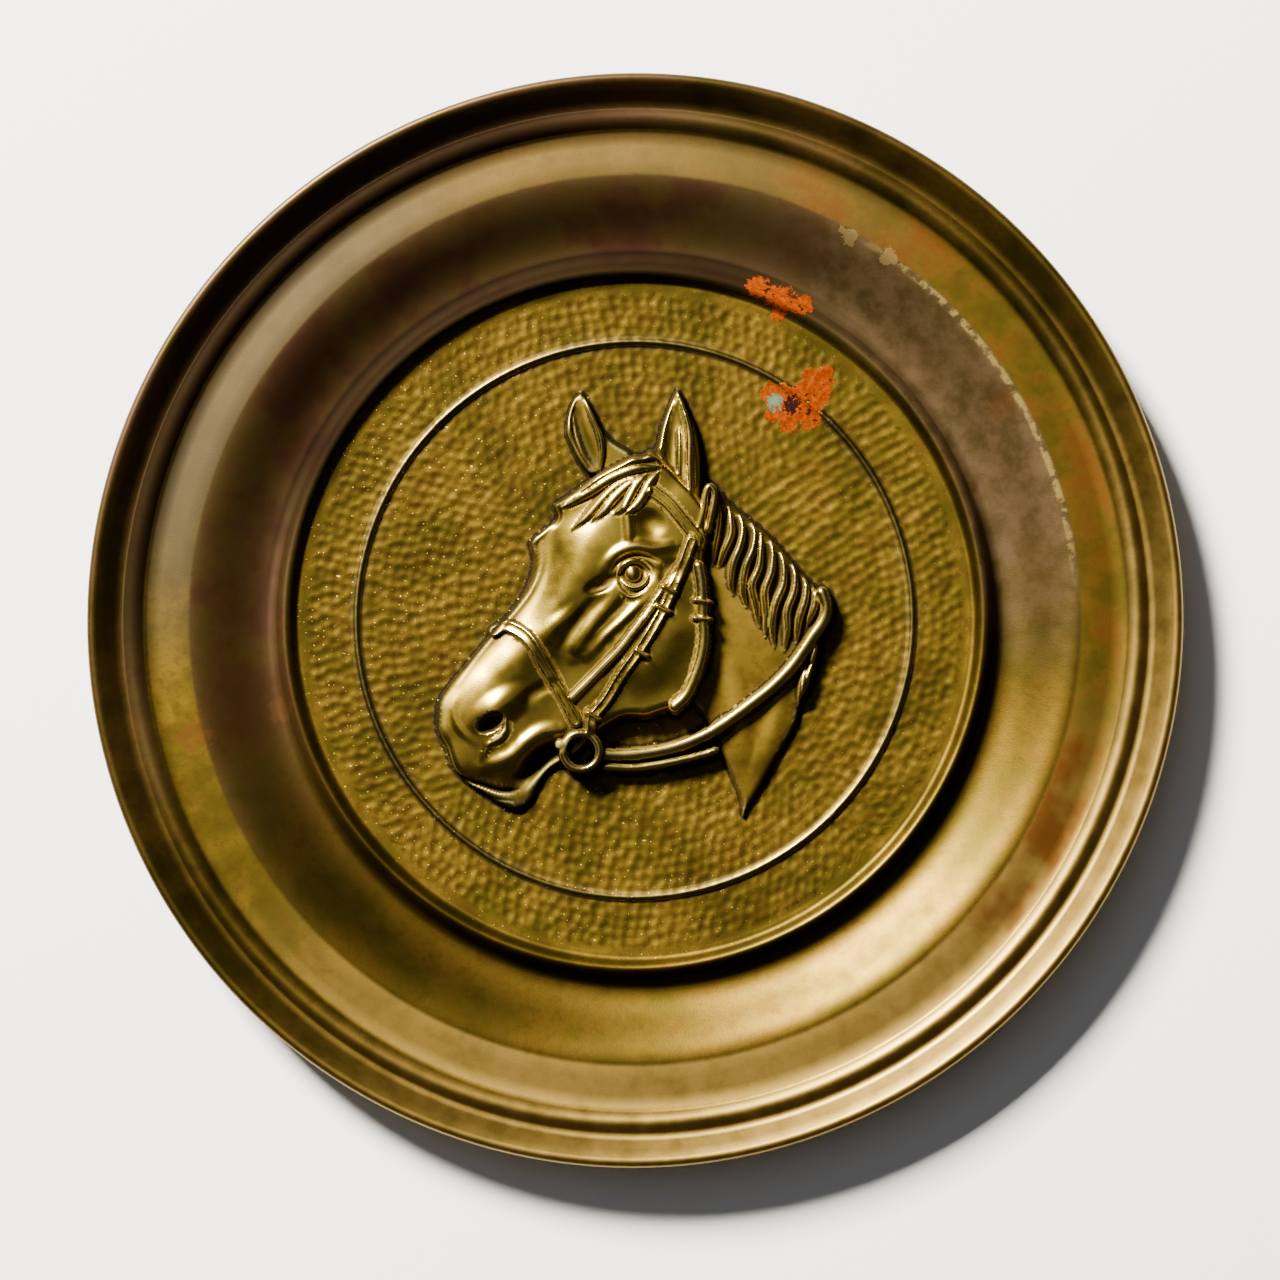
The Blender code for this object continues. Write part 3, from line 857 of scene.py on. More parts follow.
class Patina:
    """Builds one material's nodes out of masks and layers of colour."""

    def __init__(self, name: str) -> None:
        """Start an empty material of this name.

        Args:
            name: The material's name.
        """
        self.material = bpy.data.materials.new(name)
        self.material.use_nodes = True
        self.tree = self.material.node_tree
        self.shader = self.tree.nodes["Principled BSDF"]
        self.place = add_node(self.tree, "TexCoord").outputs["Object"]
        self.split = add_node(self.tree, "SeparateXYZ", links={0: self.place})
        flat = add_node(self.tree, "CombineXYZ",
                        links={0: self.split.outputs[0], 1: self.split.outputs[1]}).outputs[0]
        self.flat = flat
        self.radius = add_node(self.tree, "VectorMath", operation="LENGTH", links={0: flat}).outputs["Value"]

    def math(self, operation: str, first: object, second: object = 0.0, clamp: bool = False) -> Socket:
        """Combine two sockets or numbers.

        Args:
            operation: The name of the operation.
            first: The first socket or number.
            second: The second socket or number.
            clamp: Whether the result stays between 0 and 1.

        Returns:
            The result's socket.
        """
        node = add_node(self.tree, "Math", operation=operation, use_clamp=clamp)
        for index, item in enumerate((first, second)):
            if isinstance(item, (int, float)):
                node.inputs[index].default_value = item
            else:
                self.tree.links.new(item, node.inputs[index])
        return node.outputs[0]

    def product(self, first: object, *others: object) -> Socket:
        """Multiply masks, numbers or both, in their order.

        Args:
            first: The first mask.
            *others: The masks and numbers that it is multiplied by.

        Returns:
            The mask's socket.
        """
        for other in others:
            first = self.math("MULTIPLY", first, other)
        return first

    def ramp(self, socket: Socket, low: float, high: float) -> Socket:
        """Smooth step from 0 at the low value to 1 at the high one, or down where low is above high.

        Args:
            socket: The value.
            low: Where the mask is 0.
            high: Where it is 1.

        Returns:
            The mask's socket.
        """
        lower, upper, start, end = (low, high, 0.0, 1.0) if low < high else (high, low, 1.0, 0.0)
        node = add_node(self.tree, "MapRange", links={0: socket}, interpolation_type="SMOOTHSTEP",
                        values={1: lower, 2: upper, 3: start, 4: end})
        return node.outputs[0]

    def noise(self, size_mm: float, detail: float = 3.0, offset: float = 0.0) -> Socket:
        """Cloudy noise.

        Args:
            size_mm: Size of its features in millimetres.
            detail: How many finer octaves it has.
            offset: How far it is moved, so that two noises differ.

        Returns:
            The noise's value socket.
        """
        moved = add_node(self.tree, "Mapping", links={0: self.place},
                         values={"Location": (offset, offset, 0.0)})
        node = add_node(self.tree, "TexNoise", links={0: moved.outputs[0]},
                        values={"Scale": per_metre(size_mm), "Detail": detail, "Roughness": 0.6})
        return node.outputs[0]

    def band(self, zone: Point, blur_mm: float) -> Socket:
        """Mask of a ring of the plate between the zone's two radii.

        Args:
            zone: Inner and outer radius in millimetres.
            blur_mm: How far each edge fades either way.

        Returns:
            The mask's socket.
        """
        inner, outer = zone
        rise = self.ramp(self.radius, (inner - blur_mm) * MM, (inner + blur_mm) * MM)
        fall = self.ramp(self.radius, (outer + blur_mm) * MM, (outer - blur_mm) * MM)
        return self.product(rise, fall)

    def side(self, degrees: float, low: float, high: float) -> Socket:
        """Mask of the side of the plate that lies in a direction from its centre.

        Args:
            degrees: The direction, from the right and turning to the top.
            low: Cosine to the direction where the mask is 0.
            high: Cosine where it is 1.

        Returns:
            The mask's socket.
        """
        direction = (math.cos(math.radians(degrees)), math.sin(math.radians(degrees)), 0.0)
        outward = add_node(self.tree, "VectorMath", operation="NORMALIZE", links={0: self.place})
        facing = add_node(self.tree, "VectorMath", operation="DOT_PRODUCT", links={0: outward.outputs[0]},
                          values={1: direction})
        return self.ramp(facing.outputs["Value"], low, high)

    def spot(self, spot: Spot, ragged: Socket) -> Socket:
        """Mask of a ragged round spot.

        Args:
            spot: Its centre to the right of and above the plate's centre, and its radius.
            ragged: Noise that frays its edge.

        Returns:
            The mask's socket.
        """
        x, y, radius = spot
        gap = add_node(self.tree, "VectorMath", operation="DISTANCE", links={0: self.flat},
                       values={1: (x * MM, y * MM, 0.0)}).outputs["Value"]
        fray = self.product(self.math("SUBTRACT", ragged, 0.5), (1.5 * radius + 4.0) * MM)
        return self.ramp(self.math("ADD", gap, fray), (radius + 0.25) * MM, (radius - 0.25) * MM)

    def spots(self, spots: Sequence[Spot], ragged: Socket) -> Socket:
        """Mask of several ragged round spots."""
        return self.highest([self.spot(spot, ragged) for spot in spots])

    def highest(self, masks: Sequence[Socket]) -> Socket:
        """The highest of several masks.

        Args:
            masks: The masks.

        Returns:
            The mask's socket.
        """
        result = masks[0]
        for mask in masks[1:]:
            result = self.math("MAXIMUM", result, mask)
        return result

    def blend(self, mask: Socket, below: object, above: object) -> Socket:
        """Lay one colour over another through a mask.

        Args:
            mask: Where the upper colour shows.
            below: The lower colour's socket or hex code.
            above: The upper colour's socket or hex code.

        Returns:
            The blended colour's socket.
        """
        node = add_node(self.tree, "Mix", data_type="RGBA", links={0: mask})
        for index, item in ((6, below), (7, above)):
            if isinstance(item, str):
                node.inputs[index].default_value = hex_colour(item)
            else:
                self.tree.links.new(item, node.inputs[index])
        return node.outputs[2]

    def level(self, mask: Socket, below: object, above: object) -> Socket:
        """Lay one number over another through a mask, as blend does with colours.

        Args:
            mask: Where the upper number shows.
            below: The lower number or its socket.
            above: The upper number or its socket.

        Returns:
            The blended number's socket.
        """
        node = add_node(self.tree, "Mix", data_type="FLOAT", links={0: mask})
        for index, item in ((2, below), (3, above)):
            if isinstance(item, (int, float)):
                node.inputs[index].default_value = item
            else:
                self.tree.links.new(item, node.inputs[index])
        return node.outputs[0]

    def feed(self, name: str, socket: Socket) -> None:
        """Link a socket to the shader's input of this name."""
        self.tree.links.new(socket, self.shader.inputs[name])

    def attribute(self, name: str) -> Socket:
        """A number stored on the piece's points."""
        return add_node(self.tree, "Attribute", attribute_name=name).outputs["Fac"]


@dataclass(frozen=True)
class AgedBrass:
    """Pressed and once lacquered brass sheet, tarnished by age.

    The metal is olive gold where it is worn, brown to maroon where it is tarnished, and near black
    in the recesses, from dirt and from painted shade. Copper shows salmon red where the zinc has gone.
    """

    # Inner and outer radius of each zone, in millimetres
    well: Point = (0.0, 94.0)
    well_floor: Point = (0.0, 93.0)
    ring: Point = (76.2, 78.0)
    step: Point = (94.8, 103.5)
    cove: Point = (96.5, 122.5)
    brim: Point = (122.8, 134.5)
    rim: Point = (135.5, 156.0)
    moulding: Point = (135.2, 141.0)
    cove_edge: Point = (120.8, 122.6)
    # Spots as x, y and radius, in millimetres from the plate's centre
    copper_spots: Sequence[Spot] = (
        (34.5, 92.0, 3.2), (40.5, 89.6, 3.6), (47.0, 87.0, 3.0), (40.8, 85.4, 2.2),
        (51.0, 64.8, 5.0), (43.4, 58.8, 6.4), (38.8, 61.0, 3.6), (48.6, 56.6, 3.6))
    stain_spots: Sequence[Spot] = ((-121.5, -32.5, 4.5), (-98.5, -25.5, 3.0), (101.5, 58.5, 4.0))
    crust_spots: Sequence[Spot] = ((60.0, 105.0, 2.4), (71.0, 99.0, 2.0))
    pit_spot: Spot = (43.8, 59.2, 2.3)
    green_spot: Spot = (39.2, 60.0, 2.2)

    gold: str = "#5A4815"
    olive: str = "#3F360E"
    umber: str = "#402E0E"
    maroon: str = "#361E0C"
    grime_and_shade_colour: str = "#0E0804"
    polished: str = "#B69838"
    worn: str = "#D2C47E"
    wear_and_sheen: str = "#8A7038"
    mauve: str = "#4E3C24"
    pale: str = "#5A482A"
    sky_reflection_grey: str = "#403A2E"
    rust: str = "#523414"
    copper: str = "#5C2000"
    copper_light: str = "#743002"
    pit: str = "#1E0E0A"
    verdigris: str = "#4C5A44"
    crust: str = "#6E6032"
    dust: str = "#C8AE4A"

    def material(self) -> bpy.types.Material:
        """Builds the material.

        Returns:
            The material.
        """
        patina = Patina("pressed and hammered aged brass")
        ragged = patina.noise(3.2, 4.0, 0.31)
        fine = patina.noise(0.45, 2.0, 0.17)
        cloud = patina.noise(22.0, 3.0)
        mottle = patina.noise(7.0, 4.0, 0.53)
        hollow = patina.attribute("hollow")
        crest = patina.attribute("crest")
        colour, tarnish = self._metal(patina, cloud, mottle)
        shine = patina.product(patina.attribute("proud"), patina.ramp(cloud, 0.2, 0.7))
        colour = patina.blend(shine, colour, self.polished)
        # Grime and painted shade: near black in the hollows, on the head's steep walls and in its recesses
        grime_and_shade = patina.product(patina.ramp(hollow, 0.12, 0.90), 0.88)
        # Painted shade on the step and on the moulding at the upper left
        step = patina.product(patina.band(self.step, 1.2), patina.side(112.0, 0.20, 0.80))
        moulding = patina.product(patina.band(self.moulding, 0.5), patina.side(140.0, 0.30, 0.85))
        painted_upper_left_shade = patina.product(patina.math("MAXIMUM", step, moulding), 0.88)
        grime_and_shade = patina.math("MAXIMUM", grime_and_shade, painted_upper_left_shade)
        colour = patina.blend(grime_and_shade, colour, self.grime_and_shade_colour)
        colour = patina.blend(patina.product(patina.ramp(crest, 0.2, 1.0), 0.30), colour, self.worn)
        dusty = patina.level(patina.side(205.0, -0.5, 0.6), 0.2, 1.0)
        dusty = patina.product(patina.band(self.well, 1.0), dusty)
        specks = patina.product(patina.ramp(patina.noise(0.8, 1.0, 0.71), 0.71, 0.77),
                                patina.level(patina.attribute("raised"), dusty, 0.0))
        colour = patina.blend(specks, colour, self.dust)
        front = patina.attribute("front")
        crust = patina.product(self._crust(patina, ragged), front)
        colour = patina.blend(crust, colour, self.crust)
        copper = patina.product(patina.spots(self.copper_spots, ragged), front)
        colour = patina.blend(copper, colour, self._copper(patina))
        stains = patina.product(patina.spots(self.stain_spots, ragged), 0.6, front)
        colour = patina.blend(stains, colour, self.rust)
        patina.feed("Base Color", colour)
        self._finish(patina, tarnish, grime_and_shade, patina.math("MAXIMUM", copper, crust), fine, mottle)
        return patina.material

    def _metal(self, patina: Patina, cloud: Socket, mottle: Socket) -> tuple[Socket, Socket]:
        """Colour of the bare and tarnished metal, and how tarnished it is.

        Args:
            patina: The material's nodes.
            cloud: Broad cloudy noise.
            mottle: Finer cloudy noise.

        Returns:
            The sockets of the colour and of the tarnish.
        """
        colour = patina.blend(patina.ramp(cloud, 0.36, 0.64), self.olive, self.gold)
        colour = patina.blend(patina.product(patina.ramp(mottle, 0.50, 0.66), 0.55), colour, self.umber)
        freckles = patina.product(patina.ramp(patina.noise(1.9, 3.0, 0.37), 0.48, 0.66), 0.45)
        colour = patina.blend(freckles, colour, self.umber)
        upper_left = patina.side(130.0, -0.2, 0.9)
        cove, brim, rim = patina.band(self.cove, 1.0), patina.band(self.brim, 0.8), patina.band(self.rim, 1.0)
        spotty = patina.level(mottle, 0.2, 0.9)
        # The well, darker towards the upper left
        darkened = patina.product(patina.band(self.well_floor, 1.0), patina.side(140.0, -0.4, 0.8), 0.28)
        colour = patina.blend(darkened, colour, self.grime_and_shade_colour)
        # The hollow wall: brown, maroon streaks at the upper left and a greyed patch at the right
        shade = patina.product(cove, patina.level(patina.ramp(cloud, 0.35, 0.65), 0.15, 0.65))
        colour = patina.blend(shade, colour, self.umber)
        wall_tarnish = patina.product(cove, upper_left)
        streaks = patina.product(wall_tarnish, patina.level(patina.ramp(cloud, 0.38, 0.62), 0.35, 1.0))
        colour = patina.blend(streaks, colour, self.maroon)
        mauve = patina.product(cove, patina.side(36.0, 0.66, 1.0),
                               patina.level(patina.ramp(mottle, 0.35, 0.65), 0.55, 0.95))
        colour = patina.blend(mauve, colour, self.mauve)
        # The brim: paler at the top, a painted sky reflection at the upper left, lighter below and rusty at
        # the right
        paler_top = patina.product(patina.side(115.0, 0.3, 0.95), patina.level(cloud, 0.3, 1.0))
        colour = patina.blend(patina.product(brim, paler_top), colour, self.pale)
        # Painted reflection of a grey sky on the brim's upper left
        painted_sky_reflection = patina.product(brim, patina.side(148.0, 0.72, 0.98), 0.65)
        colour = patina.blend(painted_sky_reflection, colour, self.sky_reflection_grey)
        lighter_lower_brim = patina.product(brim, patina.side(285.0, 0.3, 0.9), spotty)
        colour = patina.blend(lighter_lower_brim, colour, self.wear_and_sheen)
        rusty = patina.product(patina.side(10.0, 0.2, 0.8), patina.ramp(cloud, 0.40, 0.60))
        colour = patina.blend(patina.product(brim, rusty), colour, self.rust)
        # The rim: maroon at the upper left, and a painted reflection in light gold at the lower right
        reddened = patina.product(upper_left, patina.level(patina.ramp(cloud, 0.35, 0.60), 0.3, 0.8))
        rim_tarnish = patina.product(rim, reddened)
        colour = patina.blend(rim_tarnish, colour, self.maroon)
        # Painted reflection in light gold on the rim's lower right
        painted_rim_reflection = patina.product(rim, patina.side(-50.0, -0.2, 0.7), spotty)
        colour = patina.blend(painted_rim_reflection, colour, self.wear_and_sheen)
        return colour, patina.highest([wall_tarnish, mauve, rim_tarnish])

    def _crust(self, patina: Patina, ragged: Socket) -> Socket:
        """Dried pale crust along the cove's upper edge on the right, and loose blotches.

        Args:
            patina: The material's nodes.
            ragged: Noise that frays the edges.

        Returns:
            The mask's socket.
        """
        edge = patina.product(patina.band(self.cove_edge, 0.5), patina.side(32.0, 0.86, 0.97),
                              patina.ramp(ragged, 0.40, 0.58), 0.7)
        return patina.math("MAXIMUM", edge, patina.product(patina.spots(self.crust_spots, ragged), 0.35))

    def _copper(self, patina: Patina) -> Socket:
        """Colour of the corrosion: salmon grains, dark pits and one green spot.

        Args:
            patina: The material's nodes.

        Returns:
            The colour's socket.
        """
        grains = patina.noise(1.1, 3.0, 0.91)
        colour = patina.blend(patina.ramp(grains, 0.35, 0.68), self.copper, self.copper_light)
        pits = patina.ramp(patina.noise(2.6, 2.0, 0.23), 0.62, 0.68)
        pits = patina.math("MAXIMUM", pits, patina.spot(self.pit_spot, grains))
        colour = patina.blend(pits, colour, self.pit)
        return patina.blend(patina.spot(self.green_spot, grains), colour, self.verdigris)

    def _finish(self, patina: Patina, tarnish: Socket, grime_and_shade: Socket,
                dull: Socket, fine: Socket, mottle: Socket) -> None:
        """Set how metallic, rough and grainy each part is.

        Args:
            patina: The material's nodes.
            tarnish: Mask of the tarnish.
            grime_and_shade: Mask of the dirt in the hollows and of the painted shade.
            dull: Mask of crust and corrosion.
            fine: Fine noise for the grain.
            mottle: Cloudy noise that the gloss follows.
        """
        # Grime with the painted shade, and corrosion, hide the metal and hardly shine
        covered = patina.highest([dull, patina.product(grime_and_shade, 0.9), patina.product(tarnish, 0.45)])
        dark = patina.math("MAXIMUM", grime_and_shade, dull)
        patina.feed("Metallic", patina.math("SUBTRACT", 1.0, patina.product(covered, 0.9), clamp=True))
        patina.feed("Specular IOR Level", patina.level(dark, 0.5, 0.05))
        patina.feed("Specular Tint", patina.blend(dark, "#FFFFFF", self.grime_and_shade_colour))
        # The well and the brim are dull from the press, and the head and the ring are rubbed bright
        flat = patina.math("MAXIMUM", patina.band(self.well, 1.5), patina.band(self.brim, 0.8))
        rough = patina.level(flat, patina.level(mottle, 0.32, 0.48), patina.level(mottle, 0.54, 0.70))
        ring = patina.product(patina.band(self.ring, 0.3), 0.7)
        polished = patina.math("MAXIMUM", patina.attribute("proud"), ring)
        rough = patina.level(polished, rough, patina.level(mottle, 0.13, 0.33))
        rough = patina.level(grime_and_shade, rough, 0.75)
        rough = patina.level(dull, rough, 0.85)
        patina.feed("Roughness", rough)
        crusty = patina.product(dull, patina.noise(0.9, 3.0, 0.43), 2.2)
        relief = patina.math("ADD", patina.product(fine, 0.35), crusty)
        bump = add_node(patina.tree, "Bump", links={"Height": relief},
                        values={"Strength": 0.5, "Distance": 0.12 * MM})
        patina.feed("Normal", bump.outputs[0])


@dataclass
class BrassPlate:
    """The whole plate: one pressed sheet, closed all round."""

    section: PlateSection = field(default_factory=PlateSection)
    head: HorseHead = field(default_factory=HorseHead)
    marks: HammerMarks = field(default_factory=HammerMarks)
    finish: AgedBrass = field(default_factory=AgedBrass)
    segments: int = 200
    well_cuts: int = 4
    detail_gap: float = 0.13 * MM
    blur_rounds: int = 5
    wear_size: float = 4.0 * MM
    proud_from: float = 2.6 * MM
    proud_over: float = 1.5 * MM
    # The dents fade in over this share of the ring's half width, and out over this edge of the well
    ring_share: float = 0.05
    well_edge: float = 2.0 * MM
    # Upward part of the normal where a wall starts to take painted shade, and where cloths start to rub
    steep_from: float = 0.74
    steep_over: float = 0.4
    rubbed_from: float = 0.55
    rubbed_over: float = 0.35
    name: str = "pressed_brass_plate"

    def build(self) -> bpy.types.Object:
        """Model the sheet.

        Returns:
            The finished object, at the origin.
        """
        shape = bmesh.new()
        self._turn(shape)
        back_radius = self.section.outline()[-1][0]
        self._disc(shape, self.section.well_radius, self.section.well_height)
        self._disc(shape, back_radius, self.section.well_height - self.section.sheet)
        bmesh.ops.remove_doubles(shape, verts=shape.verts, dist=0.001 * MM)
        self._press_front(shape)
        self._press_back(shape, back_radius)
        bmesh.ops.recalc_face_normals(shape, faces=shape.faces)
        mesh = bpy.data.meshes.new(self.name)
        shape.to_mesh(mesh)
        shape.free()
        mesh.shade_smooth()
        self._store_wear(mesh)
        plate = bpy.data.objects.new(self.name, mesh)
        bpy.context.scene.collection.objects.link(plate)
        return plate

    def dress(self, plate: bpy.types.Object) -> None:
        """Give the plate its finish and its place in the frame.

        Args:
            plate: The finished object.
        """
        plate.data.materials.append(self.finish.material())
        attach(plate, "root")
        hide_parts("brass_plate")

    def _turn(self, shape: bmesh.types.BMesh) -> None:
        """Turn the section about the axis.

        Args:
            shape: The mesh to add to.
        """
        points = [shape.verts.new((radius, 0.0, height)) for radius, height in self.section.outline()]
        edges = [shape.edges.new(pair) for pair in zip(points, points[1:])]
        bmesh.ops.spin(shape, geom=points + edges, cent=(0, 0, 0), axis=(0, 0, 1), angle=2 * math.pi,
                       steps=self.segments, use_merge=True, use_duplicate=False)

    def _disc(self, shape: bmesh.types.BMesh, radius: float, height: float) -> None:
        """Add a flat disc whose square cells are eased into a circle.

        Args:
            shape: The mesh to add to.
            radius: The disc's radius.
            height: The disc's height.
        """
        cells = self.segments // 4
        grid = bmesh.ops.create_grid(shape, x_segments=cells, y_segments=cells, size=1.0)
        for vertex in grid["verts"]:
            x, y, _ = vertex.co
            reach = max(abs(x), abs(y))
            if reach == 0:
                angle = 0.0
            elif abs(x) >= abs(y):
                angle = math.pi / 4 * y / x + (math.pi if x < 0 else 0.0)
            else:
                angle = math.pi / 2 - math.pi / 4 * x / y + (math.pi if y < 0 else 0.0)
            vertex.co = (radius * reach * math.cos(angle), radius * reach * math.sin(angle), height)

    def _flat(self, shape: bmesh.types.BMesh, height: float, radius: float) -> list[bmesh.types.BMVert]:
        """The vertices of the flat well at a height, inside a radius."""
        return [vertex for vertex in shape.verts
                if abs(vertex.co.z - height) < 0.001 * MM and vertex.co.xy.length < radius - 0.01 * MM]

    def _press_front(self, shape: bmesh.types.BMesh) -> None:
        """Divide the well finely, then press the dents, the ring and the head into it.

        Args:
            shape: The plate's mesh.
        """
        section = self.section
        inner = set(self._flat(shape, section.well_height, section.well_radius))
        edges = [edge for edge in shape.edges if edge.verts[0] in inner or edge.verts[1] in inner]
        bmesh.ops.subdivide_edges(shape, edges=edges, cuts=self.well_cuts, use_grid_fill=True)
        self._divide_detail(shape)
        raised = shape.verts.layers.float.new("raised")
        proud = shape.verts.layers.float.new("proud")
        shaded_recess = shape.verts.layers.float.new("shaded_recess")
        pressed = self._flat(shape, section.well_height, section.well_radius)
        places = np.array([vertex.co.xy for vertex in pressed])
        radius = np.hypot(*places.T)
        across = np.clip(np.abs(radius - section.ring_radius) / (section.ring_width / 2), 0, 1)
        ring = section.ring_rise * np.sqrt(1 - across ** 2)
        head = self.head.front(places)
        clear = np.clip((across - (1 - self.ring_share)) / self.ring_share, 0, 1)
        clear *= np.clip((section.well_radius - radius) / self.well_edge, 0, 1)
        rises = np.where(head > 0, head, ring - self.marks.sink(places) * clear)
        # How deep each point lies in the head's recesses, for the painted shade
        recess_shade = self.head.recess_shade(places)
        for vertex, rise, lift, shade_share in zip(pressed, rises, head, recess_shade):
            vertex.co.z += float(rise)
            vertex[shaded_recess] = float(shade_share)
            vertex[raised] = min(float(lift) / MM, 1.0)
            vertex[proud] = min(max(float(lift) - self.proud_from, 0.0) / self.proud_over, 1.0)
        LOG.info("pressed %d points of the well", len(pressed))

    def _divide_detail(self, shape: bmesh.types.BMesh) -> None:
        """Halve the well's cells where the head's relief bends sharply between their points.

        Args:
            shape: The plate's mesh.
        """
        inner = self._flat(shape, self.section.well_height, self.section.well_radius)
        number = {vertex: index for index, vertex in enumerate(inner)}
        edges = [edge for edge in shape.edges if edge.verts[0] in number and edge.verts[1] in number]
        places = np.array([vertex.co.xy for vertex in inner])
        ends = np.array([[number[vertex] for vertex in edge.verts] for edge in edges])
        heights = self.head.front(places)
        gaps = np.abs(self.head.front(places[ends].mean(axis=1)) - heights[ends].mean(axis=1))
        # Keys keep their order, where a set's order would change from run to run
        bent = [edge for edge, gap in zip(edges, gaps) if gap > self.detail_gap]
        cells = dict.fromkeys(face for edge in bent for face in edge.link_faces)
        sharp = list(dict.fromkeys(edge for face in cells for edge in face.edges))
        bmesh.ops.subdivide_edges(shape, edges=sharp, cuts=1, use_grid_fill=True)
        LOG.info("halved %d cells of the head", len(cells))

    def _press_back(self, shape: bmesh.types.BMesh, radius: float) -> None:
        """Press the hollow behind the head.

        Args:
            shape: The plate's mesh.
            radius: Radius of the flat underside of the well.
        """
        pressed = self._flat(shape, self.section.well_height - self.section.sheet, radius)
        rises = self.head.back(np.array([vertex.co.xy for vertex in pressed]))
        for vertex, rise in zip(pressed, rises):
            vertex.co.z += float(rise)

    def _store_wear(self, mesh: bpy.types.Mesh) -> None:
        """Store how sunk and how proud each point is, for the dirt, the painted shade and the wear.

        Args:
            mesh: The finished mesh.
        """
        count = len(mesh.vertices)
        places = np.empty(count * 3)
        mesh.vertices.foreach_get("co", places)
        normals = np.empty(count * 3)
        mesh.vertices.foreach_get("normal", normals)
        places = places.reshape(-1, 3)
        ends = np.empty(len(mesh.edges) * 2, dtype=np.int32)
        mesh.edges.foreach_get("vertices", ends)
        first, second = ends.reshape(-1, 2).T
        links = np.bincount(first, minlength=count) + np.bincount(second, minlength=count)
        square = np.sum((places[first] - places[second]) ** 2, axis=1)
        spacing = (np.bincount(first, square, count) + np.bincount(second, square, count)) / links
        blurred = places.copy()
        for _ in range(self.blur_rounds):
            total = np.zeros_like(blurred)
            for axis in range(3):
                total[:, axis] = np.bincount(first, blurred[second, axis], count)
                total[:, axis] += np.bincount(second, blurred[first, axis], count)
            blurred = total / links[:, None]
        sunk = np.sum((blurred - places) * normals.reshape(-1, 3), axis=1)
        bend = self.wear_size * sunk / (self.blur_rounds * spacing)
        raised, shaded_recess = np.empty(count), np.empty(count)
        mesh.attributes["raised"].data.foreach_get("value", raised)
        mesh.attributes["shaded_recess"].data.foreach_get("value", shaded_recess)
        # Painted shade darkens the head's steep walls, and cloths rub only what faces up
        upright = normals.reshape(-1, 3)[:, 2]
        steep = raised * np.clip((self.steep_from - upright) / self.steep_over, 0, 1)
        wear_and_sheen = -bend * np.clip((upright - self.rubbed_from) / self.rubbed_over, 0, 1)
        # Dirt in the hollows, with painted shade on the steep walls and in the head's recesses
        hollow = np.maximum.reduce([bend, steep, shaded_recess])
        layers = {"hollow": hollow, "crest": wear_and_sheen, "front": 1 + 4 * upright}
        for name, values in layers.items():
            layer = mesh.attributes.new(name, "FLOAT", "POINT")
            layer.data.foreach_set("value", np.clip(values, 0, 1).astype(np.float32))


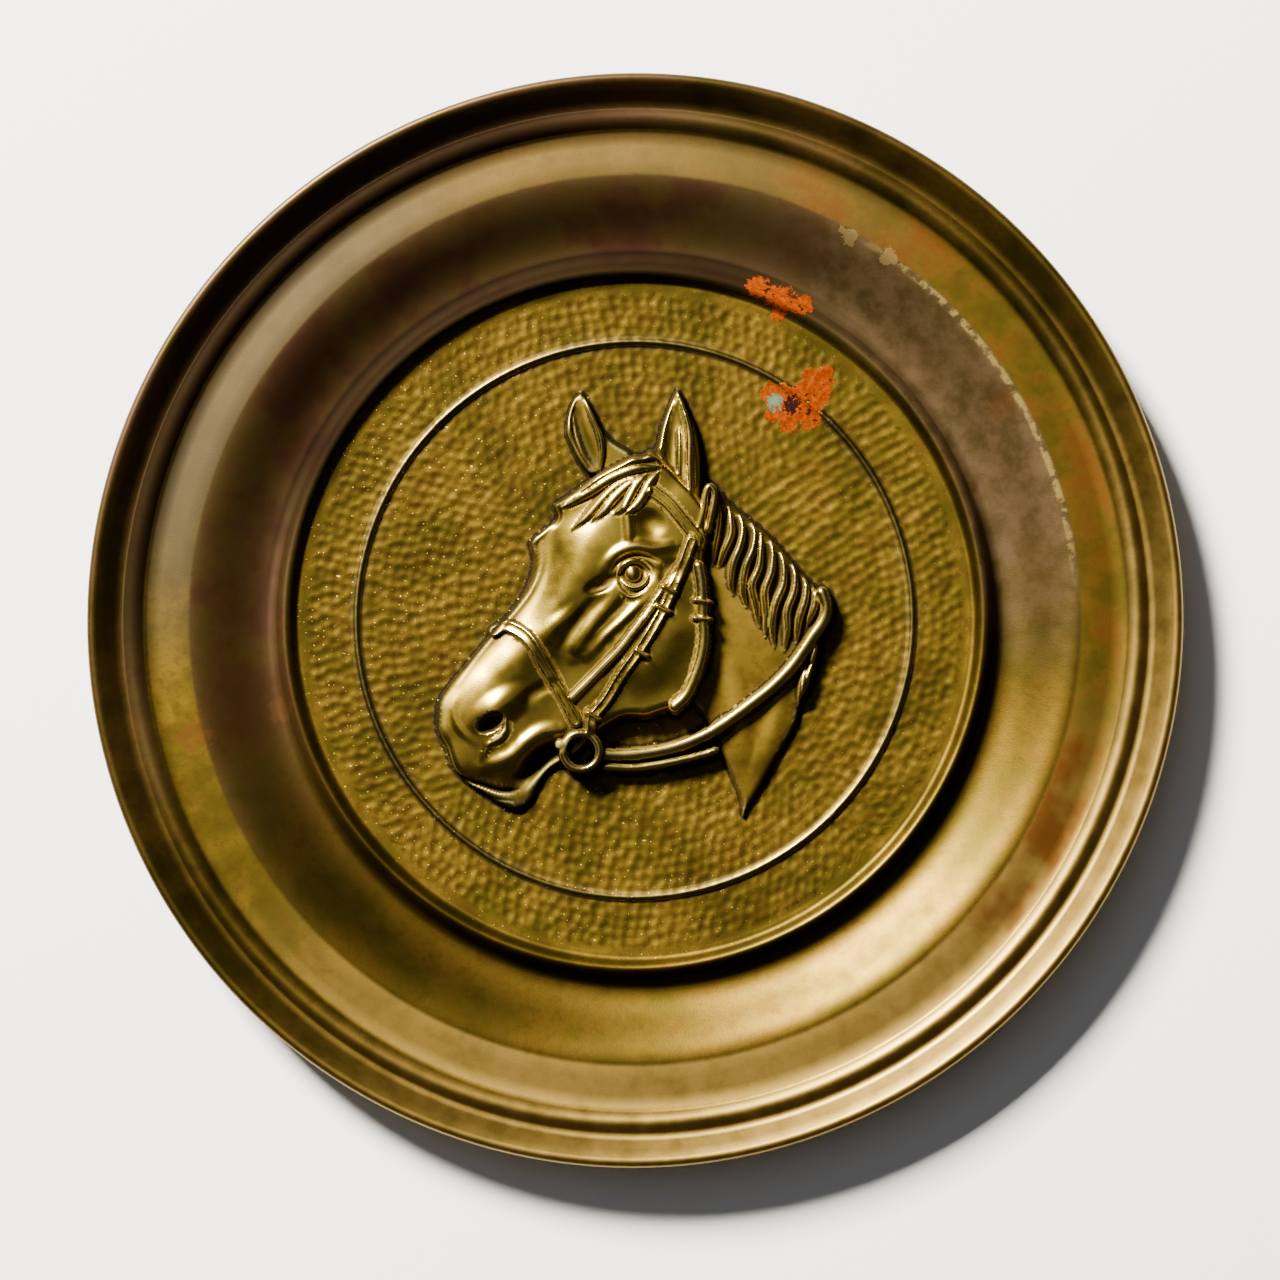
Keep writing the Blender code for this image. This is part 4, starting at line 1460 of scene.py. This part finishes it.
@dataclass
class Studio:
    """Floor, soft light and camera."""

    image_size: int = 1280
    plate_radius: float = 150.0 * MM
    plate_pixels: float = 550.2
    centre_pixel: Point = (631.3, 614.8)
    rim_height: float = 16.8 * MM
    distance: float = 0.9
    tilt: float = math.radians(4.0)
    tilt_direction: float = math.radians(-55.0)
    sensor: float = 36.0

    def camera(self) -> bpy.types.Object:
        """Place the camera as the photograph was taken.

        Returns:
            The camera.
        """
        pixel = self.plate_radius / self.plate_pixels
        middle = self.image_size / 2
        aim = Vector(((middle - self.centre_pixel[0]) * pixel, (self.centre_pixel[1] - middle) * pixel,
                      self.rim_height))
        lean = Vector((math.cos(self.tilt_direction), math.sin(self.tilt_direction), 0.0))
        back = lean * math.sin(self.tilt) + Vector((0, 0, math.cos(self.tilt)))
        right = Vector((0, 1, 0)).cross(back).normalized()
        turn = Matrix((right, back.cross(right), back)).transposed()
        data = bpy.data.cameras.new("camera")
        data.sensor_width = self.sensor
        data.lens = self.sensor * self.distance / (self.image_size * pixel)
        camera = bpy.data.objects.new("camera", data)
        camera.matrix_world = Matrix.Translation(aim + back * self.distance) @ turn.to_4x4()
        bpy.context.scene.collection.objects.link(camera)
        bpy.context.scene.camera = camera
        return camera

    def softbox(self, name: str, azimuth: float, elevation: float, distance: float, size: float,
                power: float, colour: str) -> bpy.types.Object:
        """Add a square soft light aimed at the plate.

        Args:
            name: The light's name.
            azimuth: Its direction from the plate in degrees, from the right and turning to the top.
            elevation: Its height in degrees.
            distance: How far it stands from the plate.
            size: The side of its square.
            power: Its power in watts.
            colour: Its colour as a hex code.

        Returns:
            The light.
        """
        flat = math.cos(math.radians(elevation))
        direction = Vector((math.cos(math.radians(azimuth)) * flat, math.sin(math.radians(azimuth)) * flat,
                            math.sin(math.radians(elevation))))
        data = bpy.data.lights.new(name, "AREA")
        data.size = size
        data.energy = power
        data.color = hex_colour(colour)[:3]
        light = bpy.data.objects.new(name, data)
        light.location = direction * distance
        light.rotation_euler = direction.to_track_quat("Z", "Y").to_euler()
        bpy.context.scene.collection.objects.link(light)
        return light

    def floor(self) -> bpy.types.Object:
        """Add the plain pale floor under the plate, matt like paper, so that only the shadow shows.

        Returns:
            The floor.
        """
        shape = bmesh.new()
        bmesh.ops.create_grid(shape, x_segments=1, y_segments=1, size=4.0)
        bmesh.ops.translate(shape, verts=shape.verts, vec=(0, 0, -0.02 * MM))
        mesh = bpy.data.meshes.new("floor")
        shape.to_mesh(mesh)
        shape.free()
        floor = bpy.data.objects.new("floor", mesh)
        bpy.context.scene.collection.objects.link(floor)
        material = bpy.data.materials.new("matt white paper")
        material.use_nodes = True
        shader = material.node_tree.nodes["Principled BSDF"]
        shader.inputs["Base Color"].default_value = hex_colour("#F6F6F4")
        shader.inputs["Roughness"].default_value = 0.9
        mesh.materials.append(material)
        return floor

    def light(self) -> None:
        """Light the plate softly from the upper left, with a weak fill."""
        self.softbox("key", azimuth=127.0, elevation=36.0, distance=2.6, size=0.60, power=590.0,
                     colour="#FFF8EC")
        self.softbox("overhead", azimuth=126.0, elevation=70.0, distance=1.7, size=1.3, power=2.5,
                     colour="#F4F6FF")
        world = bpy.data.worlds.new("studio")
        world.use_nodes = True
        background = world.node_tree.nodes["Background"]
        background.inputs[0].default_value = hex_colour("#E8EAEE")
        background.inputs[1].default_value = 0.05
        bpy.context.scene.world = world


def main() -> None:
    """Build the studio and the plate."""
    logging.basicConfig(level=logging.INFO)
    studio = Studio()
    studio.camera()
    studio.floor()
    studio.light()
    plate = BrassPlate()
    piece = plate.build()
    plate.dress(piece)
    LOG.info("%s has %d faces", piece.name, len(piece.data.polygons))


if __name__ == "__main__":
    main()
